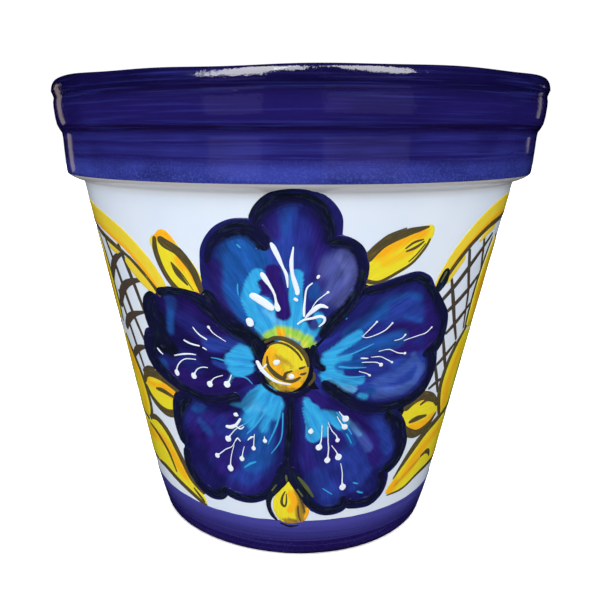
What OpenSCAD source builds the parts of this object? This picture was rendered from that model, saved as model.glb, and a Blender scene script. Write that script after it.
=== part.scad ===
// Talavera flowerpot: one thrown earthenware pot, its glaze coats and its painted decoration.
// The pot stands on the XY plane with its axis on Z, and the middle of one flower faces -Y.

/* [Pot] */
// Outside diameter over the lip
rim_d = 250; // [200:1:300]
// Height from the table to the top of the lip
pot_h = 230; // [190:1:280]
// Outside diameter of the wall's line at the table
foot_d = 152; // [120:1:190]

/* [Clay] */
// Thickness of the wall
wall_t = 9; // [6:0.5:12]
// Thickness of the floor above the foot ring's recess
floor_t = 10; // [7:0.5:16]
// Diameter of the drain hole
drain_d = 24; // [12:1:40]
// Width of the ring that the pot stands on
foot_ring_w = 13; // [8:1:22]
// Depth of the turned recess inside the foot ring
foot_recess = 2; // [1:0.5:4]
// Rounding of the inside corner between floor and wall
floor_round = 9; // [4:1:14]

/* [Collar] */
// Height of the collar's lower band
lower_band_h = 22; // [16:1:30]
// Height of the collar's upper band, lip included
upper_band_h = 24; // [20:1:32]
// How far the lip stands out past the lower band
band_step = 4; // [2:0.5:6]
// How far the lower band stands out past the wall
collar_out = 9; // [6:0.5:13]
// Depth of the shallow groove under the lip roll
lip_groove = 0.8; // [0.3:0.1:1.5]
// Outer rounding of the lip
lip_round = 5; // [3:0.5:7]
// Inner rounding of the lip
lip_inner_round = 4; // [2:0.5:5]

/* [Glaze] */
// Thickness of each glaze coat
glaze_t = 0.6; // [0.4:0.1:1.2]
// Height of the blue band at the foot
foot_band_h = 22; // [14:1:26]
// Bare clay left under the blue foot band
bare_foot_h = 3; // [2:0.5:5]
// How far the rim's blue glaze runs down inside
inner_glaze_h = 32; // [12:1:60]

/* [Painting] */
// Thickness of the painted colours
paint_t = 0.4; // [0.3:0.05:0.8]

/* [Hidden] */
$fn = 96;

rim_r = rim_d / 2;
foot_r = foot_d / 2;
collar_h = lower_band_h + upper_band_h;
collar_z = pot_h - collar_h;             // where the lower band's side begins
wall_top_z = collar_z - 1;               // where the wall meets the collar's underside
step_z = pot_h - upper_band_h;           // where the two bands meet
band_r = rim_r - band_step;
wall_top_r = band_r - collar_out;
wall_slope = (wall_top_r - foot_r) / wall_top_z;
wall_tilt = atan(wall_slope);
foot_round = bare_foot_h;                // the foot's rounding ends just under the glaze
inside_floor_z = foot_recess + floor_t;
drawing_r = 96;                          // radius at which the flat drawing keeps its width
drawing_low = 22;                        // height in the drawing of the foot band's edge
drawing_high = 183;                      // height in the drawing of the wall's top

// Outside radius of the glazed wall at a height.
function wall_r(z) = foot_r + wall_slope * z;
// Radius of the bare clay inside the wall at a height.
function inside_r(z) = wall_r(z) - glaze_t - wall_t;

lip_inside_r = inside_r(pot_h) - glaze_t;
lip_w = rim_r - lip_inside_r;
lip_outer = min(lip_round, 0.45 * lip_w);
lip_inner = min(lip_inner_round, 0.45 * lip_w);

// ---- curves ----------------------------------------------------------------------------------

// Points of an arc in the plane, from angle a to angle b.
function arc(centre, r, a, b, n) =
    [for (i = [0:n]) centre + r * [cos(a + (b - a) * i / n), sin(a + (b - a) * i / n)]];

// A point on the curve that passes smoothly through b and c, at t from 0 to 1.
function between(a, b, c, d, t) =
    0.5 * (2 * b + (c - a) * t + (2 * a - 5 * b + 4 * c - d) * t * t + (3 * b - a - 3 * c + d) * t * t * t);

// A closed smooth curve through the points, with n steps between neighbours.
function ring(p, n = 4) = let (k = len(p))
    [for (i = [0:k - 1]) for (j = [0:n - 1])
        between(p[(i + k - 1) % k], p[i], p[(i + 1) % k], p[(i + 2) % k], j / n)];

// An open smooth curve through the points.
function line(p, n = 5) = let (k = len(p))
    concat([for (i = [0:k - 2]) for (j = [0:n - 1])
        between(p[max(i - 1, 0)], p[i], p[i + 1], p[min(i + 2, k - 1)], j / n)], [p[k - 1]]);

function unit(v) = v / norm(v);
function turned(v) = [-v[1], v[0]];
function reversed(p) = [for (i = [len(p) - 1:-1:0]) p[i]];
function joined(lists) = [for (l = lists) for (p = l) p];

// The path moved to its left by d, with its corners mitred.
function beside(p, d) = let (k = len(p))
    [for (i = [0:k - 1])
        let (into = unit(p[max(i, 1)] - p[max(i, 1) - 1]),
             out = unit(p[min(i, k - 2) + 1] - p[min(i, k - 2)]),
             side = turned(unit(into + out)))
        p[i] + d / (side * turned(out)) * side];

// ---- the pot's section -----------------------------------------------------------------------
// Each stretch of the glazed surface is a list of [radius, height], going up the outside and
// down the inside, so the clay is always on the left.

foot_line = [[wall_r(bare_foot_h), bare_foot_h], [wall_r(foot_band_h), foot_band_h]];
wall_line = [[wall_r(wall_top_z), wall_top_z]];
under_line = line([
    [wall_r(wall_top_z) + 1.2, wall_top_z + 0.5],
    [band_r - 3.4, collar_z + 1.2],
    [band_r - 1.3, collar_z + 3]]);
collar_line = line([
    [band_r - 0.9, collar_z + 5],
    [band_r - 0.6, collar_z + 8],
    [band_r, step_z - 2],
    [band_r + 0.5, step_z],
    [rim_r - 1.6, step_z + 4.5],
    [rim_r - 0.7, step_z + 9],
    [rim_r - 0.6, step_z + 12.5],
    [rim_r - lip_groove, step_z + 14.5],
    [rim_r - 0.2, step_z + 17]]);
lip_turn = concat(
    arc([rim_r - lip_outer, pot_h - lip_outer], lip_outer, 0, 90, 8),
    arc([lip_inside_r + lip_inner, pot_h - lip_inner], lip_inner, 95, 175, 6));
inner_line = [let (z = pot_h - inner_glaze_h) [inside_r(z) - glaze_t, z]];

glazed = joined([foot_line, wall_line, under_line, collar_line, lip_turn, inner_line]);
clay_skin = beside(glazed, glaze_t);
wall_start = len(foot_line) - 1;
rim_start = wall_start + len(wall_line) + len(under_line);
rim_end = len(glazed) - 1;

// The bare clay: the foot's rounding, the inside, and the underside with its recess.
foot_turn = arc([wall_r(foot_round) - (glaze_t + foot_round) / cos(wall_tilt), foot_round],
    foot_round, -90, -wall_tilt, 4);
inside_skin = concat(
    [let (z = pot_h - inner_glaze_h - glaze_t) [inside_r(z), z]],
    arc([inside_r(inside_floor_z + floor_round) - floor_round, inside_floor_z + floor_round],
        floor_round, 0, -90, 6),
    [[drain_d / 2, inside_floor_z]]);
underside = [[drain_d / 2, foot_recess], [foot_r - foot_ring_w - foot_recess, foot_recess],
             [foot_r - foot_ring_w, 0]];

// A coat of glaze over the stretch of the section from point a to point b.
module coat(a, b) {
    rotate_extrude()
        polygon(concat([for (i = [a:b]) glazed[i]], [for (i = [b:-1:a]) clay_skin[i]]));
}

module clay_pot() {
    color("#b5643c")
        rotate_extrude()
            polygon(joined([foot_turn, [for (i = [1:rim_end]) clay_skin[i]], inside_skin, underside]));
}

module wall_glaze() {
    color("#e6ebf2") coat(wall_start, rim_start);
}

module rim_glaze() {
    color("#1d1a6e") coat(rim_start, rim_end);
}

module foot_glaze() {
    color("#2a2878") coat(0, wall_start);
}

// ---- the flat drawing ------------------------------------------------------------------------
// Points are [along, up] in millimetres on the unrolled wall. Along is measured at drawing_r from
// the middle of the motif, and up is the height above the table.

petal_top = ring([[-6, 121], [-22, 124], [-31, 134], [-33.5, 148], [-31, 162], [-23, 171], [-13, 172.5],
    [-10, 177], [-2, 181.5], [6, 182.6], [14, 180.5], [19.5, 174], [21, 166.5], [27.5, 161.5],
    [31, 153], [29, 142], [22, 132], [14, 125], [11, 117]]);
petal_left = ring([[-12, 113], [-24, 121.5], [-34, 136], [-44, 140], [-56, 138.5], [-66, 131], [-70, 121],
    [-70.5, 115.5], [-76, 110], [-76.5, 102], [-70, 93.5], [-58, 88], [-40, 87], [-24, 91], [-13, 100]]);
petal_right = ring([[15, 104], [17, 115], [23, 130], [33, 143], [46, 147.5], [58, 147], [66, 137],
    [75, 128.5], [79.5, 118], [77.5, 109], [78, 99], [74, 89], [60, 82.5], [44, 82], [29, 87], [19, 96]]);
petal_lower_left = ring([[-3, 94], [-14, 97], [-26, 88], [-42, 85], [-56, 81], [-63.5, 70], [-62, 57.5],
    [-63.5, 48], [-58, 35.5], [-45, 29], [-35, 32], [-23, 31], [-12.5, 36], [-6, 46], [-1, 60], [-0.5, 80]]);
petal_lower_right = ring([[5, 93], [1.5, 80], [1.5, 60], [6, 46], [13, 33], [24, 26.5], [36.5, 28.5],
    [49, 27.5], [59, 36], [61, 45], [68, 55], [66.5, 68], [58, 79], [43, 79.5], [28, 83.5], [15, 92]]);
petals = [petal_top, petal_left, petal_right, petal_lower_left, petal_lower_right];
outline_w = 5;                            // width of the dark line round each petal

eye = arc([0, 107.5], 11.5, 0, 360 - 12, 29);
eye_ring_w = 1.6;

leaf_upper_left = ring([[-56.5, 163.5], [-48, 166], [-40, 159.5], [-35, 151], [-35, 142], [-46, 142.5],
    [-54, 152]]);
leaf_upper_right = ring([[35.5, 150], [35.5, 159], [43, 167], [57.5, 171], [57.5, 161], [51, 152.5]]);
leaf_left = ring([[-63, 87], [-72, 90], [-84, 87.5], [-88, 81], [-82, 73.5], [-73, 71], [-67.5, 76]]);
leaf_right = ring([[74, 83.5], [83, 82.5], [91, 75], [92.5, 67], [82, 62], [73, 62.5], [71, 70], [68, 78]]);
leaf_bottom = ring([[2, 41], [-5, 36], [-7.5, 29], [-1.5, 23.5], [6, 23.5], [8.5, 30], [7, 36]]);
leaves = [leaf_upper_left, leaf_upper_right, leaf_left, leaf_right, leaf_bottom];

// Half of the side motif, to the left of its middle. The other half is its mirror image.
arch_spine = line([[-86, 145], [-80, 154], [-68, 162.5], [-52, 169.5], [-38, 170]], 4);
arch_w = 8;
lattice_w = 2.4;
steep_bars = [line([[-77, 139], [-71, 128], [-59, 108.5]], 3), line([[-68, 155], [-60, 139], [-52, 117]], 3),
    line([[-57, 159], [-52, 147], [-50, 139]], 3), line([[-71.5, 113], [-66.5, 103], [-64.5, 94]], 3),
    line([[-46, 160], [-44, 157]], 2)];
slant_bars = [line([[-81, 133], [-66, 144], [-48, 158]], 3), line([[-70, 115], [-60, 120], [-51, 125]], 3),
    line([[-74, 126.5], [-60, 134], [-50.5, 139.5]], 3), line([[-73, 100], [-66, 102.5], [-60, 106.5]], 3),
    line([[-71.5, 94], [-64.5, 95.5]], 2)];
frond_upper = ring([[-38, 158], [-44, 149], [-47.5, 137], [-48, 124], [-45.5, 114], [-36, 112], [-20, 104],
    [-8, 100], [-10, 118], [-20, 137], [-30, 151]]);
frond_middle = ring([[-47, 110.5], [-57, 104], [-61.5, 94], [-61, 82], [-56, 72], [-49, 65.5], [-30, 66],
    [-10, 62], [-8, 80], [-14, 95], [-30, 106]]);
frond_lower = ring([[-89, 30], [-82, 44], [-71, 56], [-59, 61.5], [-45, 62.5], [-28, 62], [-8, 58],
    [-6, 46], [-20, 38], [-40, 34.5], [-58, 35.5], [-75, 31.5]]);
half_fronds = [frond_upper, frond_middle, frond_lower];
bud = ring([[0, 152], [-6, 138], [-6, 122], [0, 108], [6, 122], [6, 138]]);
bud_foot = ring([[0, 50], [-4.5, 40], [-4, 29], [0, 25], [4, 29], [4.5, 40]]);

// ---- from the flat drawing to the wall -------------------------------------------------------

// Height on this pot's wall of a height in the drawing, kept between the foot band and the collar.
function wall_z(up) =
    foot_band_h + (up - drawing_low) * (wall_top_z - foot_band_h) / (drawing_high - drawing_low);

// A drawing point seen square on, from the side that the motif faces.
function seen(p) = let (z = wall_z(p[1])) [wall_r(z) * sin(p[0] / drawing_r * 180 / PI), z];
function mirrored(path) = [for (p = path) [-p[0], p[1]]];

// The layer of paint that lies on the white glaze.
module paint_layer() {
    low = wall_z(drawing_low) + paint_t;
    high = wall_z(drawing_high) - paint_t;
    rotate_extrude()
        polygon([[wall_r(low), low], [wall_r(low) + paint_t, low],
                 [wall_r(high) + paint_t, high], [wall_r(high), high]]);
}

// Paint on the wall where its 2D children reach, seen along +Y and turned about the axis.
module painted(turn) {
    rotate(turn)
        intersection() {
            paint_layer();
            rotate([90, 0, 0]) linear_extrude(rim_r) children();
        }
}

module shape(path) {
    polygon([for (p = path) seen(p)]);
}

// A brush stroke of constant width along a path.
module stroke(path, w) {
    shape(concat(beside(path, w / 2), reversed(beside(path, -w / 2))));
}

// A closed curve moved inwards by w. Curves are drawn so that their middle lies inside.
function middle_of(p) = [for (k = [0, 1]) (max([for (q = p) q[k]]) + min([for (q = p) q[k]])) / 2];
function inward(path, w) = let (m = middle_of(path))
    [for (p = path) p - w * unit(p - m)];

module petal_face(i, turn) {
    color("#2230a8")
        painted(turn)
            difference() {
                shape(inward(petals[i], outline_w));
                shape(eye);
            }
}

module outline(turn) {
    color("#101226")
        painted(turn)
            difference() {
                for (p = petals) shape(p);
                for (p = petals) shape(inward(p, outline_w));
                shape(eye);
            }
}

module eye_disc(turn) {
    color("#e9b90f") painted(turn) shape(inward(eye, eye_ring_w));
}

module leaf_group(turn) {
    color("#f3c41a")
        for (l = leaves) painted(turn) shape(inward(l, 1.2));
}

module arch(turn) {
    color("#f0cf2c")
        for (side = [arch_spine, mirrored(arch_spine)]) painted(turn) stroke(side, arch_w);
}

module lattice(turn) {
    color("#4a4038")
        for (flip = [false, true])
            painted(turn)
                for (b = concat(steep_bars, slant_bars)) stroke(flip ? mirrored(b) : b, lattice_w);
}

module palmette(turn) {
    color("#f0cf2c") {
        for (f = half_fronds) {
            painted(turn) shape(inward(f, 1));
            painted(turn) shape(inward(mirrored(f), 1));
        }
        painted(turn) shape(bud);
        painted(turn) shape(bud_foot);
    }
}

clay_pot();
wall_glaze();
rim_glaze();
foot_glaze();
petal_face(0, 0);  // front_petal_top
petal_face(1, 0);  // front_petal_left
petal_face(2, 0);  // front_petal_right
petal_face(3, 0);  // front_petal_lower_left
petal_face(4, 0);  // front_petal_lower_right
outline(0);  // front_outline
eye_disc(0);  // front_eye
leaf_group(0);  // front_leaves
petal_face(0, 180);  // back_petal_top
petal_face(1, 180);  // back_petal_left
petal_face(2, 180);  // back_petal_right
petal_face(3, 180);  // back_petal_lower_left
petal_face(4, 180);  // back_petal_lower_right
outline(180);  // back_outline
eye_disc(180);  // back_eye
leaf_group(180);  // back_leaves
arch(90);  // right_arch
lattice(90);  // right_lattice
palmette(90);  // right_palmette
arch(270);  // left_arch
lattice(270);  // left_lattice
palmette(270);  // left_palmette
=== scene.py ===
"""Glazed and hand-painted flowerpot: the looks of the pot, built round its packed frame.

The pot stands on the XY plane with its axis on Z, and the middle of its front flower faces -Y.
Drawing points are millimetres on the unrolled wall: (along, up). Along runs to the right from the
middle of the flower, at a radius of DRAWING_R, and up is the height above the table.
"""

import math

import bpy
import numpy as np
from mathutils import Matrix, Vector, noise


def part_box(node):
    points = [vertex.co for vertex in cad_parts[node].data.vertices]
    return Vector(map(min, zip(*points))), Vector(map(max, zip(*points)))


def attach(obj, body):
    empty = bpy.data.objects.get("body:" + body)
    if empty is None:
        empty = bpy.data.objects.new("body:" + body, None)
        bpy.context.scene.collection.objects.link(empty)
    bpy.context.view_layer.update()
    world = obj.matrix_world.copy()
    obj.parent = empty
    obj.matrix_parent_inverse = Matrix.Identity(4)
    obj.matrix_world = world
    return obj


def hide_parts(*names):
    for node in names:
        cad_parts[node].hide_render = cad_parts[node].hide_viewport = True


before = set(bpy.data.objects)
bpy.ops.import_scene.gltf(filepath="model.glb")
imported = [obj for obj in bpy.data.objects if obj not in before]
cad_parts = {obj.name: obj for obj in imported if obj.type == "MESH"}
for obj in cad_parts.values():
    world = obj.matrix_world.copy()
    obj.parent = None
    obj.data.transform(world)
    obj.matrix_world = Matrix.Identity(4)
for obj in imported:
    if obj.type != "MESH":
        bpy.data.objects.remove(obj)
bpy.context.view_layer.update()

bl_info = {
    "name": "Painted flowerpot",
    "version": (1, 0, 0),
    "blender": (4, 5, 0),
    "location": "View3D > Sidebar > Flowerpot",
    "description": "Builds a glazed, hand-painted flowerpot piece by piece",
    "category": "Add Mesh",
}

MM = 0.001
DRAWING_R = 96.0        # radius at which the flat drawing keeps its width
FLOWER_EYE = (1.5, 108.5)


# ---- sizes taken from the frame -----------------------------------------------------------------

def box_mm(node):
    """A CAD node's lowest and highest corners, in millimetres."""
    low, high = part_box(node)
    return low / MM, high / MM


RIM_R, POT_H = box_mm("rim_glaze")[1].xz
BAND_TOP = box_mm("wall_glaze")[0].z        # top of the blue band at the foot
BAND_TOP_R = box_mm("foot_glaze")[1].x
WALL_TOP = 183.0                            # where the wall starts to turn out under the collar
WALL_SLOPE = 0.1967                         # growth in radius for each millimetre of height
WALL_TILT = math.atan(WALL_SLOPE)
TUCK, TUCK_TOP = 1.6, 30                    # how far the wall tucks in at the table, and its start
SUNK, PATCH_SUNK = 0.03, 0.06               # how far the edges of a stroke and a patch are sunk
PAINT_DEPTH = 0.25                          # how deep paint is rooted in the glaze


def wall_r(z):
    """Radius of the glazed wall at a height: a cone that tucks in a little at the table."""
    tuck = TUCK * (np.maximum(TUCK_TOP - z, 0) / TUCK_TOP) ** 2
    return BAND_TOP_R + WALL_SLOPE * (z - BAND_TOP) - tuck


# The line of (radius, height) on which the glaze turns out under the collar. The fillet is the part
# of it that paint can reach.
UNDER_LINE = [(112.3, 182.9), (113.2, 183.5), (115.4, 184.2), (117.6, 185.2), (119.1, 186.2),
              (119.75, 187)]
FILLET = np.array([(wall_r(182), 182)] + UNDER_LINE[:4])


def waves(turn, *rows):
    """A sum of waves round the pot, from rows of (height, number of waves, phase)."""
    return sum(height * np.sin(count * turn + phase) for height, count, phase in rows)


def waver(turn, z):
    """How far the hand-thrown wall strays from a true cone, in millimetres."""
    return waves(turn, (0.26, 2, 0.4), (0.2, 3, z / 60 - 1.1), (0.1, 5, z / 35),
                 (0.05, 9, 2 - z / 20))


# ---- flat curves --------------------------------------------------------------------------------

def curve(points, spacing=1.0, closed=False):
    """A smooth curve through the points, with a row about every `spacing` millimetres."""
    p = np.array(points, float)
    count = len(p)
    rows = []
    for i in range(count if closed else count - 1):
        if closed:
            a, b, c, d = (p[(i + k) % count] for k in (-1, 0, 1, 2))
        else:
            a, b, c, d = p[max(i - 1, 0)], p[i], p[i + 1], p[min(i + 2, count - 1)]
        steps = max(2, math.ceil(np.linalg.norm((c - b)[:2]) / spacing))
        for t in np.arange(steps) / steps:
            rows.append(0.5 * (2 * b + (c - a) * t + (2 * a - 5 * b + 4 * c - d) * t ** 2
                               + (3 * b - a - 3 * c + d) * t ** 3))
    if not closed:
        rows.append(p[-1])
    return np.array(rows)


def lobed(lobes, spacing=1.6):
    """A closed outline of smooth lobes that meet in notches."""
    return np.concatenate([curve(lobe, spacing)[:-1] for lobe in lobes])


def pistil(points, dot, line=0.8):
    """A thin brush line that starts in a round dot of paint: rows of (along, up, width)."""
    rows = curve(points, 0.5)
    gone = np.concatenate([[0], np.cumsum(np.linalg.norm(np.diff(rows, axis=0), axis=1))])
    widths = []
    dot = 0.88 * dot
    for distance in gone:
        if distance < 2 * dot:
            width = 2 * math.sqrt(max(0.0, dot ** 2 - (distance - dot) ** 2))
            width = max(width, line * min(1.0, distance / dot + 0.4))
        else:
            width = line * (1 - 0.5 * distance / gone[-1])
        if dot < distance < 3.2 * dot:
            width = max(width, dot * 1.3 * (3.2 * dot - distance) / (2.2 * dot))
        widths.append(width)
    return np.column_stack([rows, widths])


# ---- meshes -------------------------------------------------------------------------------------

def deselect():
    if bpy.context.object and bpy.context.object.mode != "OBJECT":
        bpy.ops.object.mode_set(mode="OBJECT")
    bpy.ops.object.select_all(action="DESELECT")


def only(piece):
    """Makes a piece the one selected, active object."""
    deselect()
    piece.select_set(True)
    bpy.context.view_layer.objects.active = piece


def coords(mesh):
    values = np.empty(len(mesh.vertices) * 3)
    mesh.vertices.foreach_get("co", values)
    return values.reshape(-1, 3)


def set_coords(mesh, values):
    mesh.vertices.foreach_set("co", np.asarray(values, float).ravel())
    mesh.update()


def lathe(name, section, steps):
    """Turns a closed section of (radius, height) points round the pot's axis."""
    deselect()
    bpy.ops.mesh.primitive_circle_add(vertices=len(section), radius=MM)
    piece = bpy.context.object
    piece.name = piece.data.name = name
    section = np.array(section) * MM
    flat = np.zeros(len(section))
    set_coords(piece.data, np.column_stack([section[:, 0], flat, section[:, 1]]))
    bpy.ops.object.mode_set(mode="EDIT")
    bpy.ops.mesh.select_all(action="SELECT")
    bpy.ops.mesh.spin(steps=steps, angle=2 * math.pi, center=(0, 0, 0), axis=(0, 0, 1))
    bpy.ops.mesh.select_all(action="SELECT")
    bpy.ops.mesh.remove_doubles(threshold=0.01 * MM)
    bpy.ops.mesh.normals_make_consistent(inside=False)
    bpy.ops.object.mode_set(mode="OBJECT")
    return piece


def lay_on_wall(piece, turn):
    """Wraps a flat drawing of (along, up, lift) round the wavering wall."""
    flat = coords(piece.data) / MM
    around = flat[:, 0] / DRAWING_R + turn
    up, lift = flat[:, 1], flat[:, 2]
    on_fillet = np.interp(up, FILLET[:, 1], FILLET[:, 0])
    on_wall = np.where(up > FILLET[0, 1], on_fillet, wall_r(up))
    radius = on_wall + waver(around, up) + lift * math.cos(WALL_TILT)
    height = up - lift * math.sin(WALL_TILT)
    placed = np.column_stack([radius * np.sin(around), -radius * np.cos(around), height])
    set_coords(piece.data, placed * MM)


def paint_attributes(mesh, ink, under, along):
    """Stores each point's own colour, the colour beside it, and its place along the brush."""
    for name, values in (("ink", ink), ("under", under)):
        layer = mesh.attributes.new(name, "FLOAT_COLOR", "POINT")
        layer.data.foreach_set("color", np.column_stack([values, np.ones(len(values))]).ravel())
    corners = np.empty(len(mesh.loops), int)
    mesh.loops.foreach_get("vertex_index", corners)
    brush = mesh.uv_layers.new(name="brush")
    brush.data.foreach_set("uv", along[corners].ravel())


def flat_patch(name, outline, step=1.3):
    """A closed outline filled by rings that shrink to its middle, flat in (along, up)."""
    outline = np.asarray(outline)
    centre = outline.mean(axis=0)
    reach = np.linalg.norm(outline - centre, axis=1).mean()
    deselect()
    bpy.ops.mesh.primitive_circle_add(vertices=len(outline), radius=MM)
    piece = bpy.context.object
    piece.name = piece.data.name = name
    set_coords(piece.data, np.column_stack([outline, np.zeros(len(outline))]) * MM)
    bpy.ops.object.mode_set(mode="EDIT")
    bpy.ops.mesh.select_all(action="SELECT")
    middle = (centre[0] * MM, centre[1] * MM, 0)
    rings = [1 - 0.35 / reach] + list(np.arange(reach - step, step * 0.8, -step) / reach)
    size = 1.0
    for ring in rings:
        bpy.ops.mesh.extrude_region_move()
        bpy.ops.transform.resize(value=(ring / size,) * 3, center_override=middle)
        size = ring
    bpy.ops.mesh.edge_face_add()
    bpy.ops.mesh.poke()
    bpy.ops.mesh.select_all(action="SELECT")
    bpy.ops.mesh.normals_make_consistent(inside=False)
    bpy.ops.object.mode_set(mode="OBJECT")
    if piece.data.polygons[0].normal.z < 0:
        bpy.ops.object.mode_set(mode="EDIT")
        bpy.ops.mesh.flip_normals()
        bpy.ops.object.mode_set(mode="OBJECT")
    return piece


def smoothstep(low, high, x):
    t = np.clip((x - low) / (high - low), 0, 1)
    return t * t * (3 - 2 * t)


def washed(points, base, washes, edge=None):
    """The colour of each drawing point after soft brush washes are laid over a base colour. The
    paint pools darker along the edge, if one is given."""
    points = np.asarray(points, float)[:, :2]
    colour = np.tile(ink(base), (len(points), 1))
    if edge is not None:
        washes = washes + [("navy", 16, 9, 0.62, edge)]
    from_eye = points - FLOWER_EYE
    reach = np.linalg.norm(from_eye, axis=1)
    angle = np.arctan2(from_eye[:, 0], from_eye[:, 1])
    ragged = np.array([noise.noise(Vector((8 * math.sin(a), 8 * math.cos(a), r * 0.05)))
                       for a, r in zip(angle, reach)])
    for name, width, blur, strength, path in washes:
        line = curve(path, 1.5) if isinstance(path, list) else path
        gap = np.linalg.norm(points[:, None, :] - line[None, :, :2], axis=2).min(axis=1)
        gap = gap + ragged * (0.6 + 0.5 * blur)
        cover = strength * (1 - smoothstep((width - blur) / 2, (width + blur) / 2, gap))
        colour += cover[:, None] * (ink(name) - colour)
    return colour


def dress_patch(piece, base, washes, lift, axis, edge_count, pooled=None):
    """Gives a flat patch its washes, its brush directions and its lift off the wall. The brush
    runs from the flower's eye outwards, or along an axis given by two points."""
    flat = coords(piece.data) / MM
    middle = flat[:edge_count, :2].mean(axis=0)
    if axis is None:
        away = flat[:, :2] - FLOWER_EYE
        facing = math.atan2(*(middle - FLOWER_EYE))
        angle = (np.arctan2(away[:, 0], away[:, 1]) - facing + math.pi) % (2 * math.pi) - math.pi
        along = np.column_stack([np.linalg.norm(away, axis=1), angle * 50])
    else:
        start, end = np.array(axis, float)
        forward = (end - start) / np.linalg.norm(end - start)
        away = flat[:, :2] - start
        along = np.column_stack([away @ forward, away @ np.array([-forward[1], forward[0]])])
    colours = washed(flat, base, washes, edge=pooled)
    paint_attributes(piece.data, colours, colours, (along + middle * 7) * 0.01)
    flat[:, 2] = lift
    flat[:edge_count, 2] = -PATCH_SUNK
    set_coords(piece.data, flat * MM)


# A stroke's cross-section: places across its half width, and the share of its thickness there.
ACROSS = np.array([-1, -0.85, -0.5, 0, 0.5, 0.85, 1])
DOME = np.array([0, 0.62, 0.93, 1, 0.93, 0.62, 0])
THINNEST = 0.3


def flat_stroke(points, lift, thick, colour, under, shift):
    """One brush stroke as a domed ribbon along (along, up, width) rows, with round ends."""
    rows = points.copy() if isinstance(points, np.ndarray) else curve(points, 1.1)
    rows[:, 2] = np.maximum(rows[:, 2], THINNEST)
    steps = np.linalg.norm(np.diff(rows[:, :2], axis=0), axis=1)
    gone = np.concatenate([[0], np.cumsum(steps)])
    total = gone[-1]
    ends = []
    for end_width, sign in ((rows[0, 2], 1), (rows[-1, 2], -1)):
        cap = min(end_width / 2, total / 3)
        for part in (0.0, 0.06, 0.2, 0.45):
            ends.append(part * cap if sign > 0 else total - part * cap)
    places = np.unique(np.concatenate([gone, ends]).round(4))
    rows = np.column_stack([np.interp(places, gone, rows[:, k]) for k in range(3)])
    tangent = np.gradient(rows[:, :2], axis=0)
    tangent /= np.maximum(np.linalg.norm(tangent, axis=1), 1e-9)[:, None]
    side = np.column_stack([tangent[:, 1], -tangent[:, 0]])
    first = np.clip(places / max(rows[0, 2] / 2, 1e-3), 0, 1)
    last = np.clip((total - places) / max(rows[-1, 2] / 2, 1e-3), 0, 1)
    half = rows[:, 2] / 2
    for ease in (first, last):
        half = half * np.sqrt(np.maximum(1 - (1 - ease) ** 2, 0.02))
    deselect()
    bpy.ops.mesh.primitive_grid_add(x_subdivisions=len(ACROSS) - 1,
                                    y_subdivisions=len(rows) - 1, size=MM)
    piece = bpy.context.object
    spot = rows[:, None, :2] + side[:, None, :] * (ACROSS[None, :, None] * half[:, None, None])
    height = np.tile(np.where(DOME > 0, lift + thick * DOME, lift - SUNK), (len(rows), 1))
    height[[0, -1]] = lift - SUNK
    flat = np.concatenate([spot, height[:, :, None]], axis=2).reshape(-1, 3)
    set_coords(piece.data, flat * MM)
    along = np.concatenate([np.repeat(places * 0.01 + shift, len(ACROSS))[:, None],
                            np.tile(ACROSS, len(rows))[:, None]], axis=1)
    own = np.tile(ink(colour), (len(flat), 1))
    paint_attributes(piece.data, own, own if under is None else under(flat, own), along)
    return piece


def flat_strokes(name, rows, lift, thick, colour, under):
    """A group of flat brush strokes of one colour, each a little over the one before."""
    parts = [flat_stroke(points, lift + 0.002 * index, thick, colour, under, 0.731 * index)
             for index, points in enumerate(rows)]
    return joined(parts, name)


def thicken(piece):
    """Closes a sheet of paint into a solid that is rooted in the glaze under it."""
    only(piece)
    modifier = piece.modifiers.new("Solidify", "SOLIDIFY")
    modifier.thickness = PAINT_DEPTH * MM
    modifier.offset = -1
    modifier.use_even_offset = False
    bpy.ops.object.modifier_apply(modifier=modifier.name)
    bpy.ops.object.shade_smooth()


def finish_piece(piece, material, slot, *nodes):
    """Gives a piece its material and says what it stands for."""
    piece.data.materials.clear()
    piece.data.materials.append(material)
    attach(piece, "root")
    if nodes:
        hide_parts(*nodes)


# ---- colours ------------------------------------------------------------------------------------

def linear(code):
    """An sRGB hex colour as linear red, green and blue."""
    parts = [int(code[i:i + 2], 16) / 255 for i in (1, 3, 5)]
    return tuple(c / 12.92 if c <= 0.04045 else ((c + 0.055) / 1.055) ** 2.4 for c in parts)


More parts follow.
